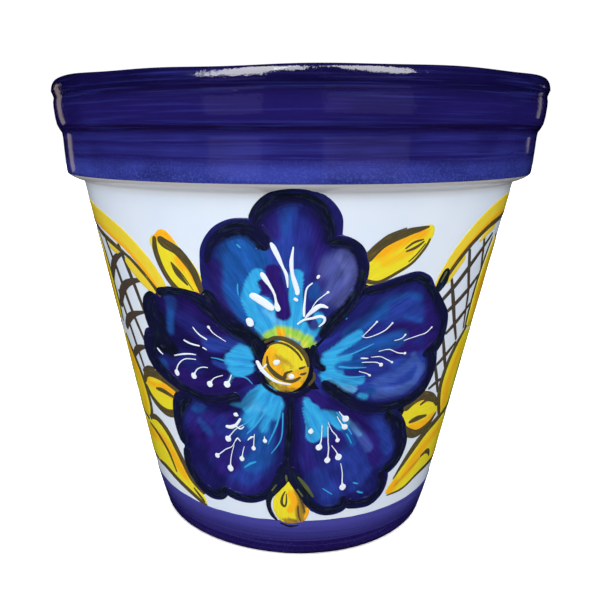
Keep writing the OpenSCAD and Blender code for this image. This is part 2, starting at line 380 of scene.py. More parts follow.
PALETTE = {
    "clay": ("#b5643c", "Fired red earthenware"),
    "tin_white": ("#dfe9f6", "Opaque tin-white glaze"),
    # Grey-tan under the collar: clay warming thin glaze, and also painted shadow under the collar.
    "thin_glaze": ("#bcad9c", "White glaze that the clay warms where it runs thin"),
    "rim_blue": ("#1f185f", "Cobalt glaze on the collar"),
    "rim_light": ("#363e9a", "Where the collar's cobalt is thin"),
    # Deepest cobalt: pooled glaze, and on the collar also painted shade in its grooves and at its
    # bottom edge.
    "rim_dark": ("#140c38", "Where the collar's cobalt pools"),
    "foot_light": ("#46459c", "Top edge of the foot band"),
    "foot_dark": ("#1c1050", "Bottom of the foot band"),
    "ink": ("#0f1424", "Near-black line"),
    "indigo": ("#151440", "Navy in the near-black line"),
    "ink_pale": ("#33435c", "Dry streaks in the near-black line"),
    "navy": ("#19144c", "Darkest petal wash"),
    "violet": ("#2b196c", "Violet petal wash"),
    "royal": ("#242c80", "Royal blue petal wash"),
    "bright": ("#2a45a4", "Bright blue petal wash"),
    "mid": ("#1d56a6", "Brushed mid blue"),
    # Painted reflection: a pale violet-blue sheen laid into the top petal's wash.
    "periwinkle": ("#6a75c4", "Pale violet-blue sheen"),
    "haze": ("#4a68bc", "Pale blue sheen"),
    "sky": ("#34a4e0", "Cyan throat"),
    "pale_sky": ("#6cbcf0", "Palest cyan"),
    "lime": ("#9ccf52", "Green where yellow runs into cyan"),
    "lemon": ("#e8da2e", "Yellow"),
    "amber": ("#f5b41e", "Orange-yellow"),
    "ochre": ("#a8822a", "Brown-gold"),
    "olive": ("#4c4630", "Olive-brown line"),
    "moss": ("#4e5c38", "Green-olive line"),
    "pine": ("#141c24", "Green-black smear"),
    "gold": ("#d0aa2c", "Yellow thinned over brown"),
    "straw": ("#e8d23c", "Thin yellow of the arches"),
    "bark": ("#4a4038", "Lattice line"),
    "slip": ("#e6f0fc", "White slip"),
}


def ink(name):
    return np.array(getattr(bpy.context.scene.flowerpot_colours, name)[:3])


def colour_property(code, text):
    return bpy.props.FloatVectorProperty(
        name=text.split(" ")[0], description=text, subtype="COLOR", size=3, min=0, max=1,
        default=linear(code))


FlowerpotColours = type("FlowerpotColours", (bpy.types.PropertyGroup,), {
    "__doc__": "Colours of the clay, the glazes and the paints.",
    "__annotations__": {key: colour_property(*value) for key, value in PALETTE.items()},
})


class FlowerpotSizes(bpy.types.PropertyGroup):
    """Sizes of the visual pieces that the frame doesn't set."""
    turns: bpy.props.IntProperty(
        name="Turns", description="Facets round the pot's turned pieces",
        default=256, min=32, max=512)
    lip_wobble: bpy.props.FloatProperty(
        name="Lip wobble", description="How far the hand-thrown lip rises and falls",
        default=0.0007, min=0, max=0.003, unit="LENGTH")
    throwing_rings: bpy.props.FloatProperty(
        name="Throwing rings", description="Depth of the finger rings inside",
        default=0.0005, min=0, max=0.002, unit="LENGTH")


# ---- materials ----------------------------------------------------------------------------------

MIX = {"out": 2, "data_type": "RGBA"}
OVERLAY = {**MIX, "blend_type": "OVERLAY"}


def rgba(colour, strength=1.0):
    """A palette colour by its name, or a grey level, as red, green, blue and alpha."""
    if isinstance(colour, str):
        return (*(strength * ink(colour)), 1)
    return (colour, colour, colour, 1) if isinstance(colour, (int, float)) else colour


def between(a, b, share):
    """The colour that lies a share of the way from one palette colour to another."""
    return (*((1 - share) * ink(a) + share * ink(b)), 1)


def add(tree, kind, inputs=None, out=0, stops=(), **settings):
    """Adds a node with its settings and links, and gives back one of its outputs. An input is a
    plain value, or a socket to link from. Stops are a ramp's (place, colour) pairs."""
    node = tree.nodes.new("ShaderNode" + kind)
    for key, value in settings.items():
        setattr(node, key, value)
    for key, value in (inputs or {}).items():
        if isinstance(value, bpy.types.NodeSocket):
            tree.links.new(value, node.inputs[key])
        else:
            node.inputs[key].default_value = value
    if stops:
        elements = node.color_ramp.elements
        while len(elements) < len(stops):
            elements.new(0.5)
        for element, (place, colour) in zip(elements, stops):
            element.position = place
            element.color = rgba(colour)
    return node.outputs[out]


def new_material(name, roughness, specular=0.5, coat=0.0):
    """A material with one Principled shader, and its node tree."""
    material = bpy.data.materials.new(name)
    material.use_nodes = True
    shader = material.node_tree.nodes["Principled BSDF"]
    for key, value in (("Roughness", roughness), ("IOR", 1.5), ("Specular IOR Level", specular),
                       ("Coat Weight", coat), ("Coat Roughness", 0.04)):
        shader.inputs[key].default_value = value
    return material, material.node_tree


def painted_material(name, roughness):
    """A material for brushed paint, its tree, the paint's own colour and its brush coordinates,
    in which 100 mm along the stroke is 1."""
    material, tree = new_material(name, roughness, 0.4)
    own = add(tree, "Attribute", out="Color", attribute_name="ink")
    return material, tree, own, add(tree, "UVMap", uv_map="brush")


def finish_shader(tree, base, relief, depth, strength):
    """Gives a material's shader its colour, and a surface relief of a depth in metres."""
    shader = tree.nodes["Principled BSDF"]
    tree.links.new(base, shader.inputs["Base Color"])
    normal = add(tree, "Bump", {"Height": relief, "Distance": depth, "Strength": strength})
    tree.links.new(normal, shader.inputs["Normal"])


def grain(tree, coordinates, count, detail=3.0, rough=0.55, offset=(0, 0, 0)):
    """A noise pattern with so many features in each unit of the coordinates: on Object
    coordinates, 1000 in a metre are 1 mm across."""
    if isinstance(count, (int, float)):
        count = (count, count, count)
    placed = add(tree, "Mapping", {"Vector": coordinates, "Scale": count, "Location": offset})
    return add(tree, "TexNoise", {"Vector": placed, "Scale": 1.0, "Detail": detail,
                                  "Roughness": rough}, out="Fac")


def stained(tree, base, pattern, start, full, share, colour):
    """Turns the base to a colour where a pattern is strong: by nothing below start, and by a
    share above full."""
    amount = add(tree, "ValToRGB", {"Fac": pattern}, stops=[(start, 0), (full, share)])
    return add(tree, "Mix", {0: amount, 6: base, 7: colour}, **MIX)


def shaded(tree, base, pattern, share, *stops):
    """Lightens and darkens the base by a pattern, through grey stops."""
    tone = add(tree, "ValToRGB", {"Fac": pattern}, stops=stops)
    return add(tree, "Mix", {0: share, 6: base, 7: tone}, **OVERLAY)


def strayed(tree, value, pattern, reach):
    """A value that strays with a pattern, by half the reach each way."""
    centred = add(tree, "Math", {0: pattern, 1: 0.5}, operation="SUBTRACT")
    off = add(tree, "Math", {0: centred, 1: reach}, operation="MULTIPLY")
    return add(tree, "Math", {0: value, 1: off}, operation="ADD")


def earthenware(name):
    """Bare fired clay: matt, warm, with darker flashes, a sandy grit of half a millimetre and
    faint rings from the fingers."""
    material, tree = new_material(name, 0.86, 0.3)
    place = add(tree, "TexCoord", out="Object")
    flash = grain(tree, place, 22, 4)
    grit = grain(tree, place, 1800, 2)
    rings = grain(tree, place, (6, 6, 420), 2)
    base = add(tree, "ValToRGB", {"Fac": flash}, stops=[
        (0.3, rgba("clay", 0.72)), (0.55, "clay"), (0.75, rgba("clay", 1.22))])
    base = shaded(tree, base, grit, 0.35, (0.35, 0.25), (0.6, 0.75))
    rings = add(tree, "Math", {0: rings, 1: 1.5}, operation="MULTIPLY")
    relief = add(tree, "Math", {0: grit, 1: rings}, operation="ADD")
    finish_shader(tree, base, relief, 0.00025, 0.6)
    return material


def tin_glaze(name):
    """Tin-white glaze over clay: glossy and opaque, faintly mottled blue, with a soft orange-peel
    skin 3 mm from bump to bump."""
    material, tree = new_material(name, 0.16, 0.45)
    place = add(tree, "TexCoord", out="Object")
    bluish = (*(ink("tin_white") * (0.93, 0.95, 1.0)), 1)
    base = add(tree, "ValToRGB", {"Fac": grain(tree, place, 28, 3)},
               stops=[(0.3, bluish), (0.7, "tin_white")])
    # Close under the collar the glaze runs thin and the clay warms it. The same grey-tan band is
    # also painted shadow under the collar.
    height = add(tree, "SeparateXYZ", {0: place}, out="Z")
    thin = add(tree, "MapRange", {0: height, 1: 0.1795, 2: 0.1855, 3: 0.0, 4: 0.55})
    base = add(tree, "Mix", {0: thin, 6: base, 7: rgba("thin_glaze")}, **MIX)
    finish_shader(tree, base, grain(tree, place, 330, 2), 0.00004, 0.35)
    return material


def collar_glaze(name):
    """Cobalt glaze brushed round the collar: streaks 1 mm apart along the turn, dark where it
    pools and paler along the bottom edge, under a deep gloss."""
    material, tree = new_material(name, 0.09, 0.5, 0.35)
    place = add(tree, "TexCoord", out="Object")
    height = add(tree, "SeparateXYZ", {0: place}, out="Z")
    streak = grain(tree, place, (18, 18, 900), 4, 0.6)
    blotch = grain(tree, place, (30, 30, 60), 3, 0.5, (3, 1, 0))
    level = strayed(tree, height, streak, 0.006)
    span = add(tree, "MapRange", {0: level, 1: 0.184, 2: 0.231})
    light, blue, dark = rgba("rim_light"), rgba("rim_blue"), rgba("rim_dark")
    # The lip is painted at well under half the cobalt's colour: a painted dark reflection.
    deep, lip_dark_reflection = rgba("rim_blue", 0.62), rgba("rim_blue", 0.38)
    middle = between("rim_blue", "rim_light", 0.4)
    # From the collar's bottom edge, over its step at about half height, to the lip. The dark
    # bands at the bottom edge, on the step and in the groove under the lip are pooled cobalt
    # together with painted shade.
    base = add(tree, "ValToRGB", {"Fac": span}, stops=[
        (0.0, dark), (0.05, deep), (0.08, light), (0.17, light), (0.26, blue), (0.32, middle),
        (0.38, blue), (0.42, middle), (0.465, blue), (0.485, dark), (0.51, dark), (0.535, blue),
        (0.68, blue), (0.77, deep), (0.79, dark), (0.82, lip_dark_reflection), (1.0, lip_dark_reflection)])
    base = stained(tree, base, blotch, 0.4, 0.68, 0.6, deep)
    base = stained(tree, base, streak, 0.5, 0.75, 0.4, light)
    # Fine pale crazing where the cobalt is thin, low on the collar.
    craze = grain(tree, place, 1100, 2, 0.6, (1, 2, 3))
    craze = add(tree, "ValToRGB", {"Fac": craze}, stops=[(0.5, 0), (0.62, 1)])
    low = add(tree, "MapRange", {0: height, 1: 0.197, 2: 0.188, 3: 0.0, 4: 0.3})
    craze = add(tree, "Math", {0: low, 1: craze}, operation="MULTIPLY")
    base = add(tree, "Mix", {0: craze, 6: base, 7: rgba("haze")}, **MIX)
    # Thick glaze crinkles on the lip and lies smoother below it.
    crinkle = grain(tree, place, (150, 150, 260), 3)
    pebbles = grain(tree, place, 520, 2, 0.5, (4, 4, 1))
    pebbles = add(tree, "Math", {0: pebbles, 1: 0.22}, operation="MULTIPLY")
    skin = add(tree, "Math", {0: crinkle, 1: pebbles}, operation="ADD")
    on_lip = add(tree, "MapRange", {0: height, 1: 0.212, 2: 0.227, 3: 0.25, 4: 1.0})
    skin = add(tree, "Math", {0: skin, 1: on_lip}, operation="MULTIPLY")
    finish_shader(tree, base, skin, 0.0005, 0.6)
    return material


def foot_glaze(name):
    """The cobalt band at the foot: pale and violet at its top edge, near-black at the table,
    with fine speckle where the glaze is thick."""
    material, tree = new_material(name, 0.14, 0.4, 0.2)
    place = add(tree, "TexCoord", out="Object")
    height = add(tree, "SeparateXYZ", {0: place}, out="Z")
    streak = grain(tree, place, (16, 16, 1000), 4, 0.6, (5, 2, 1))
    speckle = grain(tree, place, 1500, 1, 0.5)
    level = strayed(tree, height, streak, 0.013)
    span = add(tree, "MapRange", {0: level, 1: 0.0, 2: 0.023})
    light, dark = rgba("foot_light"), rgba("foot_dark")
    middle = between("foot_light", "foot_dark", 0.5)
    low = between("foot_dark", "foot_light", 0.3)
    base = add(tree, "ValToRGB", {"Fac": span}, stops=[
        (0.0, "rim_dark"), (0.1, dark), (0.3, dark), (0.44, low), (0.62, middle), (0.82, light),
        (0.93, light), (1.0, rgba("foot_light", 0.75))])
    base = stained(tree, base, streak, 0.48, 0.7, 0.7, middle)
    base = stained(tree, base, speckle, 0.55, 0.72, 0.3, light)
    finish_shader(tree, base, streak, 0.00008, 0.4)
    return material


def petal_wash(name):
    """Blue underglaze laid on in long wet strokes from the flower's eye: the washes' own colours,
    streaked by the brush's hairs about 0.8 mm apart, under clear gloss."""
    material, tree, own, brush = painted_material(name, 0.12)
    hair = grain(tree, brush, (9, 130, 1), 4, 0.55)
    pool = grain(tree, brush, (9, 22, 1), 3, 0.5, (7, 3, 0))
    base = shaded(tree, own, hair, 0.4, (0.3, 0.28), (0.52, 0.5), (0.72, 0.76))
    base = shaded(tree, base, pool, 0.6, (0.3, 0.26), (0.7, 0.72))
    finish_shader(tree, base, hair, 0.00003, 0.4)
    return material


def leaf_wash(name):
    """Yellow underglaze running into orange, streaked along the leaf, under clear gloss."""
    material, tree, own, brush = painted_material(name, 0.13)
    hair = grain(tree, brush, (12, 100, 1), 4, 0.6)
    base = shaded(tree, own, hair, 0.45, (0.3, 0.3), (0.7, 0.68))
    finish_shader(tree, base, hair, 0.00003, 0.35)
    return material


def line_paint(name, pale, soft, streaks, roughness=0.14, stain=None):
    """Paint from a loaded brush: its colour in the middle, pale dry streaks along it, and edges
    that bleed into the colour beside it over the part `soft` of its half width."""
    material, tree, own, brush = painted_material(name, roughness)
    under = add(tree, "Attribute", out="Color", attribute_name="under")
    hair = grain(tree, brush, (16, 3.2, 1), 3, 0.6)
    base = stained(tree, own, hair, 0.5, 0.75, streaks, rgba(pale))
    if stain:
        patchy = grain(tree, brush, (4.5, 0.8, 1), 2, 0.5, (5, 1, 0))
        base = stained(tree, base, patchy, 0.42, 0.62, 0.8, rgba(stain))
    across = add(tree, "SeparateXYZ", {0: brush}, out="Y")
    edge = add(tree, "Math", {0: across}, operation="ABSOLUTE")
    ragged = grain(tree, brush, (60, 1.2, 1), 3, 0.6, (2, 9, 0))
    edge = strayed(tree, edge, ragged, 1.1 * soft)
    bleed = add(tree, "MapRange", {0: edge, 1: 1 - soft, 2: 1.0, 3: 0.0, 4: 1.0})
    base = add(tree, "Mix", {0: bleed, 6: base, 7: under}, **MIX)
    finish_shader(tree, base, hair, 0.00003, 0.35)
    return material


GLAZES = {
    "red_earthenware": earthenware,
    "tin_white_glaze": tin_glaze,
    "brushed_cobalt_glaze": collar_glaze,
    "brushed_foot_glaze": foot_glaze,
    "petal_blue_underglaze": petal_wash,
    "leaf_yellow_underglaze": leaf_wash,
}
# Colour of the dry streaks, soft part of the edge, strength of the streaks, roughness, stain.
LINE_PAINTS = {
    # Near-black round the petals: wide soft edges, patches of navy, greyish dry streaks.
    "outline_underglaze": ("ink_pale", 0.5, 0.6, 0.14, "indigo"),
    # Olive-brown liner: a crisp thin line that shows brown-gold where it is dry.
    "olive_underglaze": ("ochre", 0.12, 0.45),
    # Lattice bars: greyer and drier than the liner.
    "lattice_underglaze": ("olive", 0.1, 0.4),
    # Watery cyan hairs in the throats, which melt into the wash.
    "streak_underglaze": ("sky", 0.75, 0.3),
    # Wide yellow strokes of the arches, streaked with orange.
    "yellow_brush_underglaze": ("amber", 0.06, 0.7),
    # Raised white slip: thick, smooth and glossier than the paint.
    "white_slip": ("tin_white", 0.12, 0.3, 0.1),
}


def material(name):
    """The named material, made the first time it is asked for."""
    if name in bpy.data.materials:
        return bpy.data.materials[name]
    return line_paint(name, *LINE_PAINTS[name]) if name in LINE_PAINTS else GLAZES[name](name)


# ---- the front drawing --------------------------------------------------------------------------
# Washes are (colour, width, blur, strength, path). Line rows are (along, up, width).

PETALS = {
    "top": {
        "base": "royal",
        "edge": [
            [(-6, 120), (-20, 123), (-29, 131), (-33.2, 139), (-33.5, 147), (-33.2, 153),
             (-31.8, 160.6), (-26.5, 168.3), (-19.4, 172.4), (-11.8, 173)],
            [(-11.8, 173), (-9.4, 177.4), (-5.9, 180.8), (-1.8, 183.2), (3, 184.5), (8, 184.3),
             (12.4, 183), (15.8, 180.6), (18.6, 177), (20.4, 172.6), (20.6, 166.5)],
            [(20.6, 166.5), (24.7, 164), (28.2, 160.6), (30.8, 156.5), (31.5, 151), (31.3, 145),
             (28, 137), (21, 128), (13, 118), (4, 116), (-6, 120)],
        ],
        "washes": [
            ("mid", 15, 4, 0.95, [(-15, 161), (-20, 151), (-22, 140), (-18, 129)]),
            ("mid", 8, 3, 0.9, [(-10, 159), (-7, 151)]),
            ("bright", 11, 6, 0.75, [(1, 178), (-1, 168), (0, 160), (4, 152)]),
            ("mid", 3.5, 3.4, 0.4, [(2, 176), (0, 168)]),
            ("violet", 7, 3, 0.8, [(-6, 174), (-4.5, 167)]),
            ("violet", 9, 4, 0.7, [(12, 175), (14.5, 166), (14, 157), (13, 148)]),
            ("navy", 6, 3, 0.6, [(7, 176), (13, 171), (16, 163)]),
            ("violet", 7, 3, 0.9, [(-27.5, 152), (-27, 140), (-22, 129)]),
            ("royal", 7, 3, 0.8, [(18, 157), (19, 147), (18, 138), (14, 133)]),
            # Painted reflection: a pale sheen on the right lobe of the top petal.
            ("periwinkle", 12, 6, 0.5, [(19.6, 152), (21, 146), (20, 141)]),
            ("periwinkle", 6.5, 2.2, 0.85, [(22, 157), (25.2, 151), (26, 144), (23.5, 137)]),
            ("mid", 5, 2, 0.7, [(10.5, 144), (12, 141)]),
            ("sky", 6.5, 0.8, 1, [(-9.5, 148.5), (-12.3, 144), (-13.6, 138), (-12, 131)]),
            ("sky", 10, 0.8, 1, [(-9, 135), (-5, 129), (1, 126), (7, 124)]),
            ("sky", 6.5, 0.8, 1, [(-9, 126), (-4, 123), (4, 123), (9, 119)]),
            ("sky", 5.6, 0.8, 1, [(4.4, 149), (4.6, 140), (4.2, 131), (6, 125)]),
            ("sky", 4.5, 0.8, 1, [(13.4, 131), (11.4, 125), (9.6, 119)]),
            ("pale_sky", 3, 2, 0.6, [(-8, 133), (-2, 128)]),
            ("violet", 6, 0.9, 1, [(-4.6, 151), (-3.8, 146), (-1.8, 139), (-0.6, 132)]),
            ("violet", 3.6, 0.8, 1, [(-8, 145.5), (-6.6, 142.5)]),
            ("violet", 4.6, 0.8, 0.9, [(11, 128.5), (11.4, 127)]),
            ("lime", 5, 1.8, 1, [(-6, 122), (-2, 124.4), (3, 123.4), (8.4, 120.4), (11.6, 116)]),
            ("lemon", 2, 1.6, 0.6, [(2, 122), (7, 119.6), (10, 115.6)]),
            ("amber", 3.2, 1.2, 1, [(-1.6, 124), (-1, 122.4)]),
        ],
    },
    "left": {
        "base": "navy",
        "edge": [
            [(-10, 112), (-18, 119), (-26, 127), (-33.5, 138), (-40.8, 139.6), (-46.7, 140),
             (-51.4, 140), (-56, 138.6), (-60.5, 135.8), (-65, 132), (-68.3, 127.6), (-69.9, 122),
             (-69.4, 117)],
            [(-69.4, 117), (-73.2, 115.3), (-75.8, 112), (-77.2, 107.5), (-77, 102), (-75.2, 97.5),
             (-72.2, 93.8), (-68, 91.4), (-61.4, 89), (-53.8, 86.5), (-40, 85), (-25, 88),
             (-13, 96), (-9, 104), (-10, 112)],
        ],
        "washes": [
            ("violet", 14, 6, 0.7, [(-48, 132), (-40, 128), (-30, 118)]),
            ("violet", 12, 5, 0.8, [(-54, 97), (-42, 92), (-28, 94), (-20, 97)]),
            ("mid", 4.5, 2.6, 0.75, [(-50.5, 134), (-52, 127), (-54, 119)]),
            ("royal", 8, 4, 0.6, [(-46, 125), (-38, 122)]),
            ("royal", 8, 4, 0.6, [(-60, 103), (-50, 105), (-42, 104)]),
            ("mid", 5, 3, 0.6, [(-63, 99.5), (-67, 98)]),
            ("bright", 7, 3, 0.8, [(-33, 115.5), (-26, 116), (-21, 117.5)]),
            ("ink", 14, 4, 1, [(-66, 131), (-63, 122), (-64, 112)]),
            ("ink", 10, 4, 1, [(-64, 113), (-57, 109)]),
            ("sky", 8.6, 0.9, 1, [(-17.6, 112), (-22.4, 108.5)]),
            ("sky", 8, 0.9, 1, [(-17.4, 106), (-21, 104.4), (-22.6, 106.5)]),
            ("sky", 3, 1, 1, [(-19, 115.5), (-22.5, 113)]),
            ("bright", 3, 1.5, 0.8, [(-27, 105), (-32, 106.5)]),
            ("sky", 2, 1, 0.9, [(-23.5, 101), (-25.6, 98)]),
        ],
    },
    "right": {
        "base": "royal",
        "edge": [
            [(13, 116), (22, 129), (29, 138), (33.5, 143.4), (38, 145), (44.7, 147), (49.4, 148.2),
             (53.4, 148.6), (57.6, 147.6), (61, 145.6), (63.4, 142.6), (68.6, 134.6), (72, 129.6),
             (75.4, 126.2), (78, 122.6), (79.5, 118.6), (79.4, 114), (76.6, 107.6)],
            [(76.6, 107.6), (77.6, 103), (78, 98.4), (77, 94), (75.3, 89.8), (72.8, 86.2),
             (69.4, 84.2), (61, 81.4), (53, 80.3), (44, 81), (35.3, 82.6), (28, 86), (19.4, 92.4),
             (14.2, 97), (12.6, 101), (12, 108), (13, 116)],
        ],
        "washes": [
            ("bright", 12, 5, 0.7, [(42, 132), (52, 133), (58, 130)]),
            ("violet", 12, 5, 0.8, [(64, 133), (70, 122), (70, 113)]),
            ("violet", 8, 3.5, 0.8, [(47, 122), (58, 121), (52, 111), (60, 110)]),
            ("mid", 7, 3, 0.8, [(27, 123), (34, 127), (40, 131)]),
            ("mid", 8, 3, 0.75, [(27, 113), (36, 116), (50, 117)]),
            ("bright", 15, 5, 0.9, [(40, 99), (52, 101), (62, 101)]),
            ("haze", 6, 2.6, 0.8, [(44, 91.6), (54, 91.4), (63, 93), (67, 99)]),
            ("haze", 3, 2, 0.6, [(60, 108), (64, 104), (67.4, 100)]),
            ("haze", 6, 3, 0.5, [(43, 98), (52, 99), (59, 104)]),
            ("mid", 2.6, 1.6, 0.7, [(41, 135.6), (50, 138.4), (57.6, 136)]),
            ("mid", 2.6, 1.6, 0.7, [(51, 128.4), (60, 125.4)]),
            ("royal", 7, 3, 0.8, [(28, 103.4), (36, 101.6), (44, 104)]),
            ("sky", 4.8, 0.8, 1, [(18.4, 112.4), (25, 118), (31, 121.8)]),
            ("sky", 9, 1.4, 1, [(18.6, 109), (21, 105.5), (20, 102.4)]),
            ("sky", 4, 1.4, 0.9, [(22, 110.4), (27, 111)]),
            ("mid", 5, 2, 0.9, [(24, 107), (32, 108)]),
            ("pale_sky", 3.4, 1.2, 0.9, [(20, 99.6), (26, 96.6), (31, 94.6)]),
            ("sky", 3, 1.2, 0.85, [(20, 102), (28, 99.6), (34, 98.6)]),
            ("sky", 3.2, 1.2, 0.9, [(34.4, 91.4), (37, 90.4)]),
            ("mid", 3, 1.6, 0.8, [(39, 94), (41, 93.6)]),
        ],
    },
    "lower_left": {
        "base": "royal",
        "edge": [
            [(-2, 94), (-8, 98), (-16, 97), (-27, 90), (-40, 87), (-53.8, 87), (-60, 80),
             (-63, 71.6), (-64.3, 66.3), (-63.4, 60.8), (-60.6, 55)],
            [(-60.6, 55), (-62.2, 50.6), (-62.6, 45.6), (-61.4, 40.6), (-58.6, 36), (-54.4, 32),
             (-49.6, 29.4), (-44.6, 28.4), (-39.6, 29.2), (-34, 33)],
            [(-34, 33), (-30, 31.6), (-24.4, 30.9), (-18.8, 31.6), (-13.8, 33.2), (-8.6, 37),
             (-4, 44), (0, 54), (1.6, 66), (1.6, 80), (1, 88), (-2, 94)],
        ],
        "washes": [
            ("navy", 20, 7, 0.8, [(-50, 60), (-52, 46), (-42, 38)]),
            ("violet", 16, 6, 0.7, [(-46, 70), (-38, 62), (-32, 52)]),
            ("mid", 5, 3, 0.75, [(-47, 79), (-41, 82), (-36, 83.5)]),
            ("mid", 5, 3, 0.5, [(-45, 73), (-40, 68)]),
            ("bright", 12, 5, 0.6, [(-12, 60), (-18, 48), (-26, 42)]),
            ("mid", 10, 4, 0.8, [(-10, 70), (-11, 60), (-18, 53)]),
            ("violet", 8, 4, 0.6, [(-10, 44), (-20, 38), (-30, 40)]),
            ("violet", 7, 3, 0.7, [(-26, 78), (-30, 84), (-38, 78)]),
            ("navy", 10, 4, 0.8, [(-28, 90), (-36, 86), (-24, 86)]),
            ("mid", 9, 5, 0.9, [(-15, 82), (-20, 73)]), ("mid", 8, 4, 0.9, [(-6, 82), (-9, 70)]),
            ("sky", 12, 0.9, 1, [(-8.4, 92.4), (-6.6, 87.6)]),
            ("sky", 10, 0.9, 1, [(-12.6, 90.5), (-15.4, 86.4)]),
            ("sky", 6, 1.6, 1, [(-4, 88), (-4.4, 82)]), ("sky", 7, 3, 0.9, [(-13, 84), (-17, 78)]),
            ("sky", 5, 3, 0.8, [(-7, 84), (-10, 76)]),
            ("pale_sky", 5, 3, 0.25, [(-15, 86), (-10, 84)]),
            ("sky", 2.6, 1.2, 0.8, [(-19, 86), (-25, 86.4)]),
        ],
    },
    "lower_right": {
        "base": "royal",
        "edge": [
            [(6, 95), (1.4, 88), (1, 76), (1.4, 62), (4, 52), (9, 41), (13, 30), (17, 27.2),
             (22, 26), (27.5, 25.9), (32.5, 27), (37.4, 29.2)],
            [(37.4, 29.2), (41.3, 27.6), (47, 27.2), (52.5, 28.4), (56.5, 31.3), (59.2, 35.4),
             (60.4, 40), (59.7, 45)],
            [(59.7, 45), (63.8, 47.4), (66.8, 51.6), (68.2, 56.6), (67.8, 61), (65.6, 66),
             (62, 74), (54, 82), (40, 84), (28, 88), (16, 96), (6, 95)],
        ],
        "washes": [
            ("navy", 8, 3, 0.95, [(4, 94), (3, 80), (3, 64), (6, 50)]),
            ("violet", 10, 4, 0.8, [(10, 93), (18, 89), (26, 86), (36, 82)]),
            ("royal", 4, 2.6, 0.6, [(6.4, 88), (6.6, 77)]),
            ("violet", 9, 4, 0.6, [(8, 66), (14, 52)]),
            ("bright", 12, 5, 0.6, [(16, 48), (22, 40), (24, 35)]),
            ("bright", 14, 5, 0.5, [(32, 60), (38, 50), (42, 42)]),
            ("violet", 7, 3, 0.8, [(35, 78), (43, 67), (49, 55)]),
            ("bright", 8, 3.4, 0.8, [(46, 78), (53, 70), (56, 60)]),
            ("navy", 10, 4, 0.7, [(52, 44), (46, 36), (40, 34)]),
            ("violet", 7, 3, 0.7, [(22, 60), (26, 66), (28, 72)]),
            ("sky", 8.6, 0.9, 1, [(12.6, 85), (14, 78), (14, 72.6)]),
            ("sky", 7, 0.9, 1, [(17, 82.4), (23, 80.4), (27.4, 77)]),
            ("sky", 4, 1, 1, [(20, 80), (18.6, 73)]), ("sky", 3, 1, 1, [(10, 90), (10.6, 86)]),
            ("mid", 5, 2, 0.8, [(29, 74), (34, 66)]),
            ("haze", 3.4, 2.8, 0.5, [(33, 75), (38, 68.6), (43, 62)]),
            ("pale_sky", 1.2, 1.4, 0.35, [(30.6, 78.6), (34, 74), (37, 70.4)]),
            ("navy", 6, 3, 0.85, [(3.6, 92), (4, 80), (4, 64), (6, 50)]),
        ],
    },
}

# Dark paint that fills the gaps between the petals.
GROUND = [(-33.6, 140), (-20, 146), (0, 150), (20, 150), (31.6, 144.6), (44, 140), (58, 120),
    (70, 106), (69, 86), (64, 80), (58, 70), (40, 60), (16, 50), (0.6, 45), (-16, 52), (-40, 60),
    (-57, 78), (-60.6, 84), (-64, 90.4), (-66, 110), (-50, 130)]

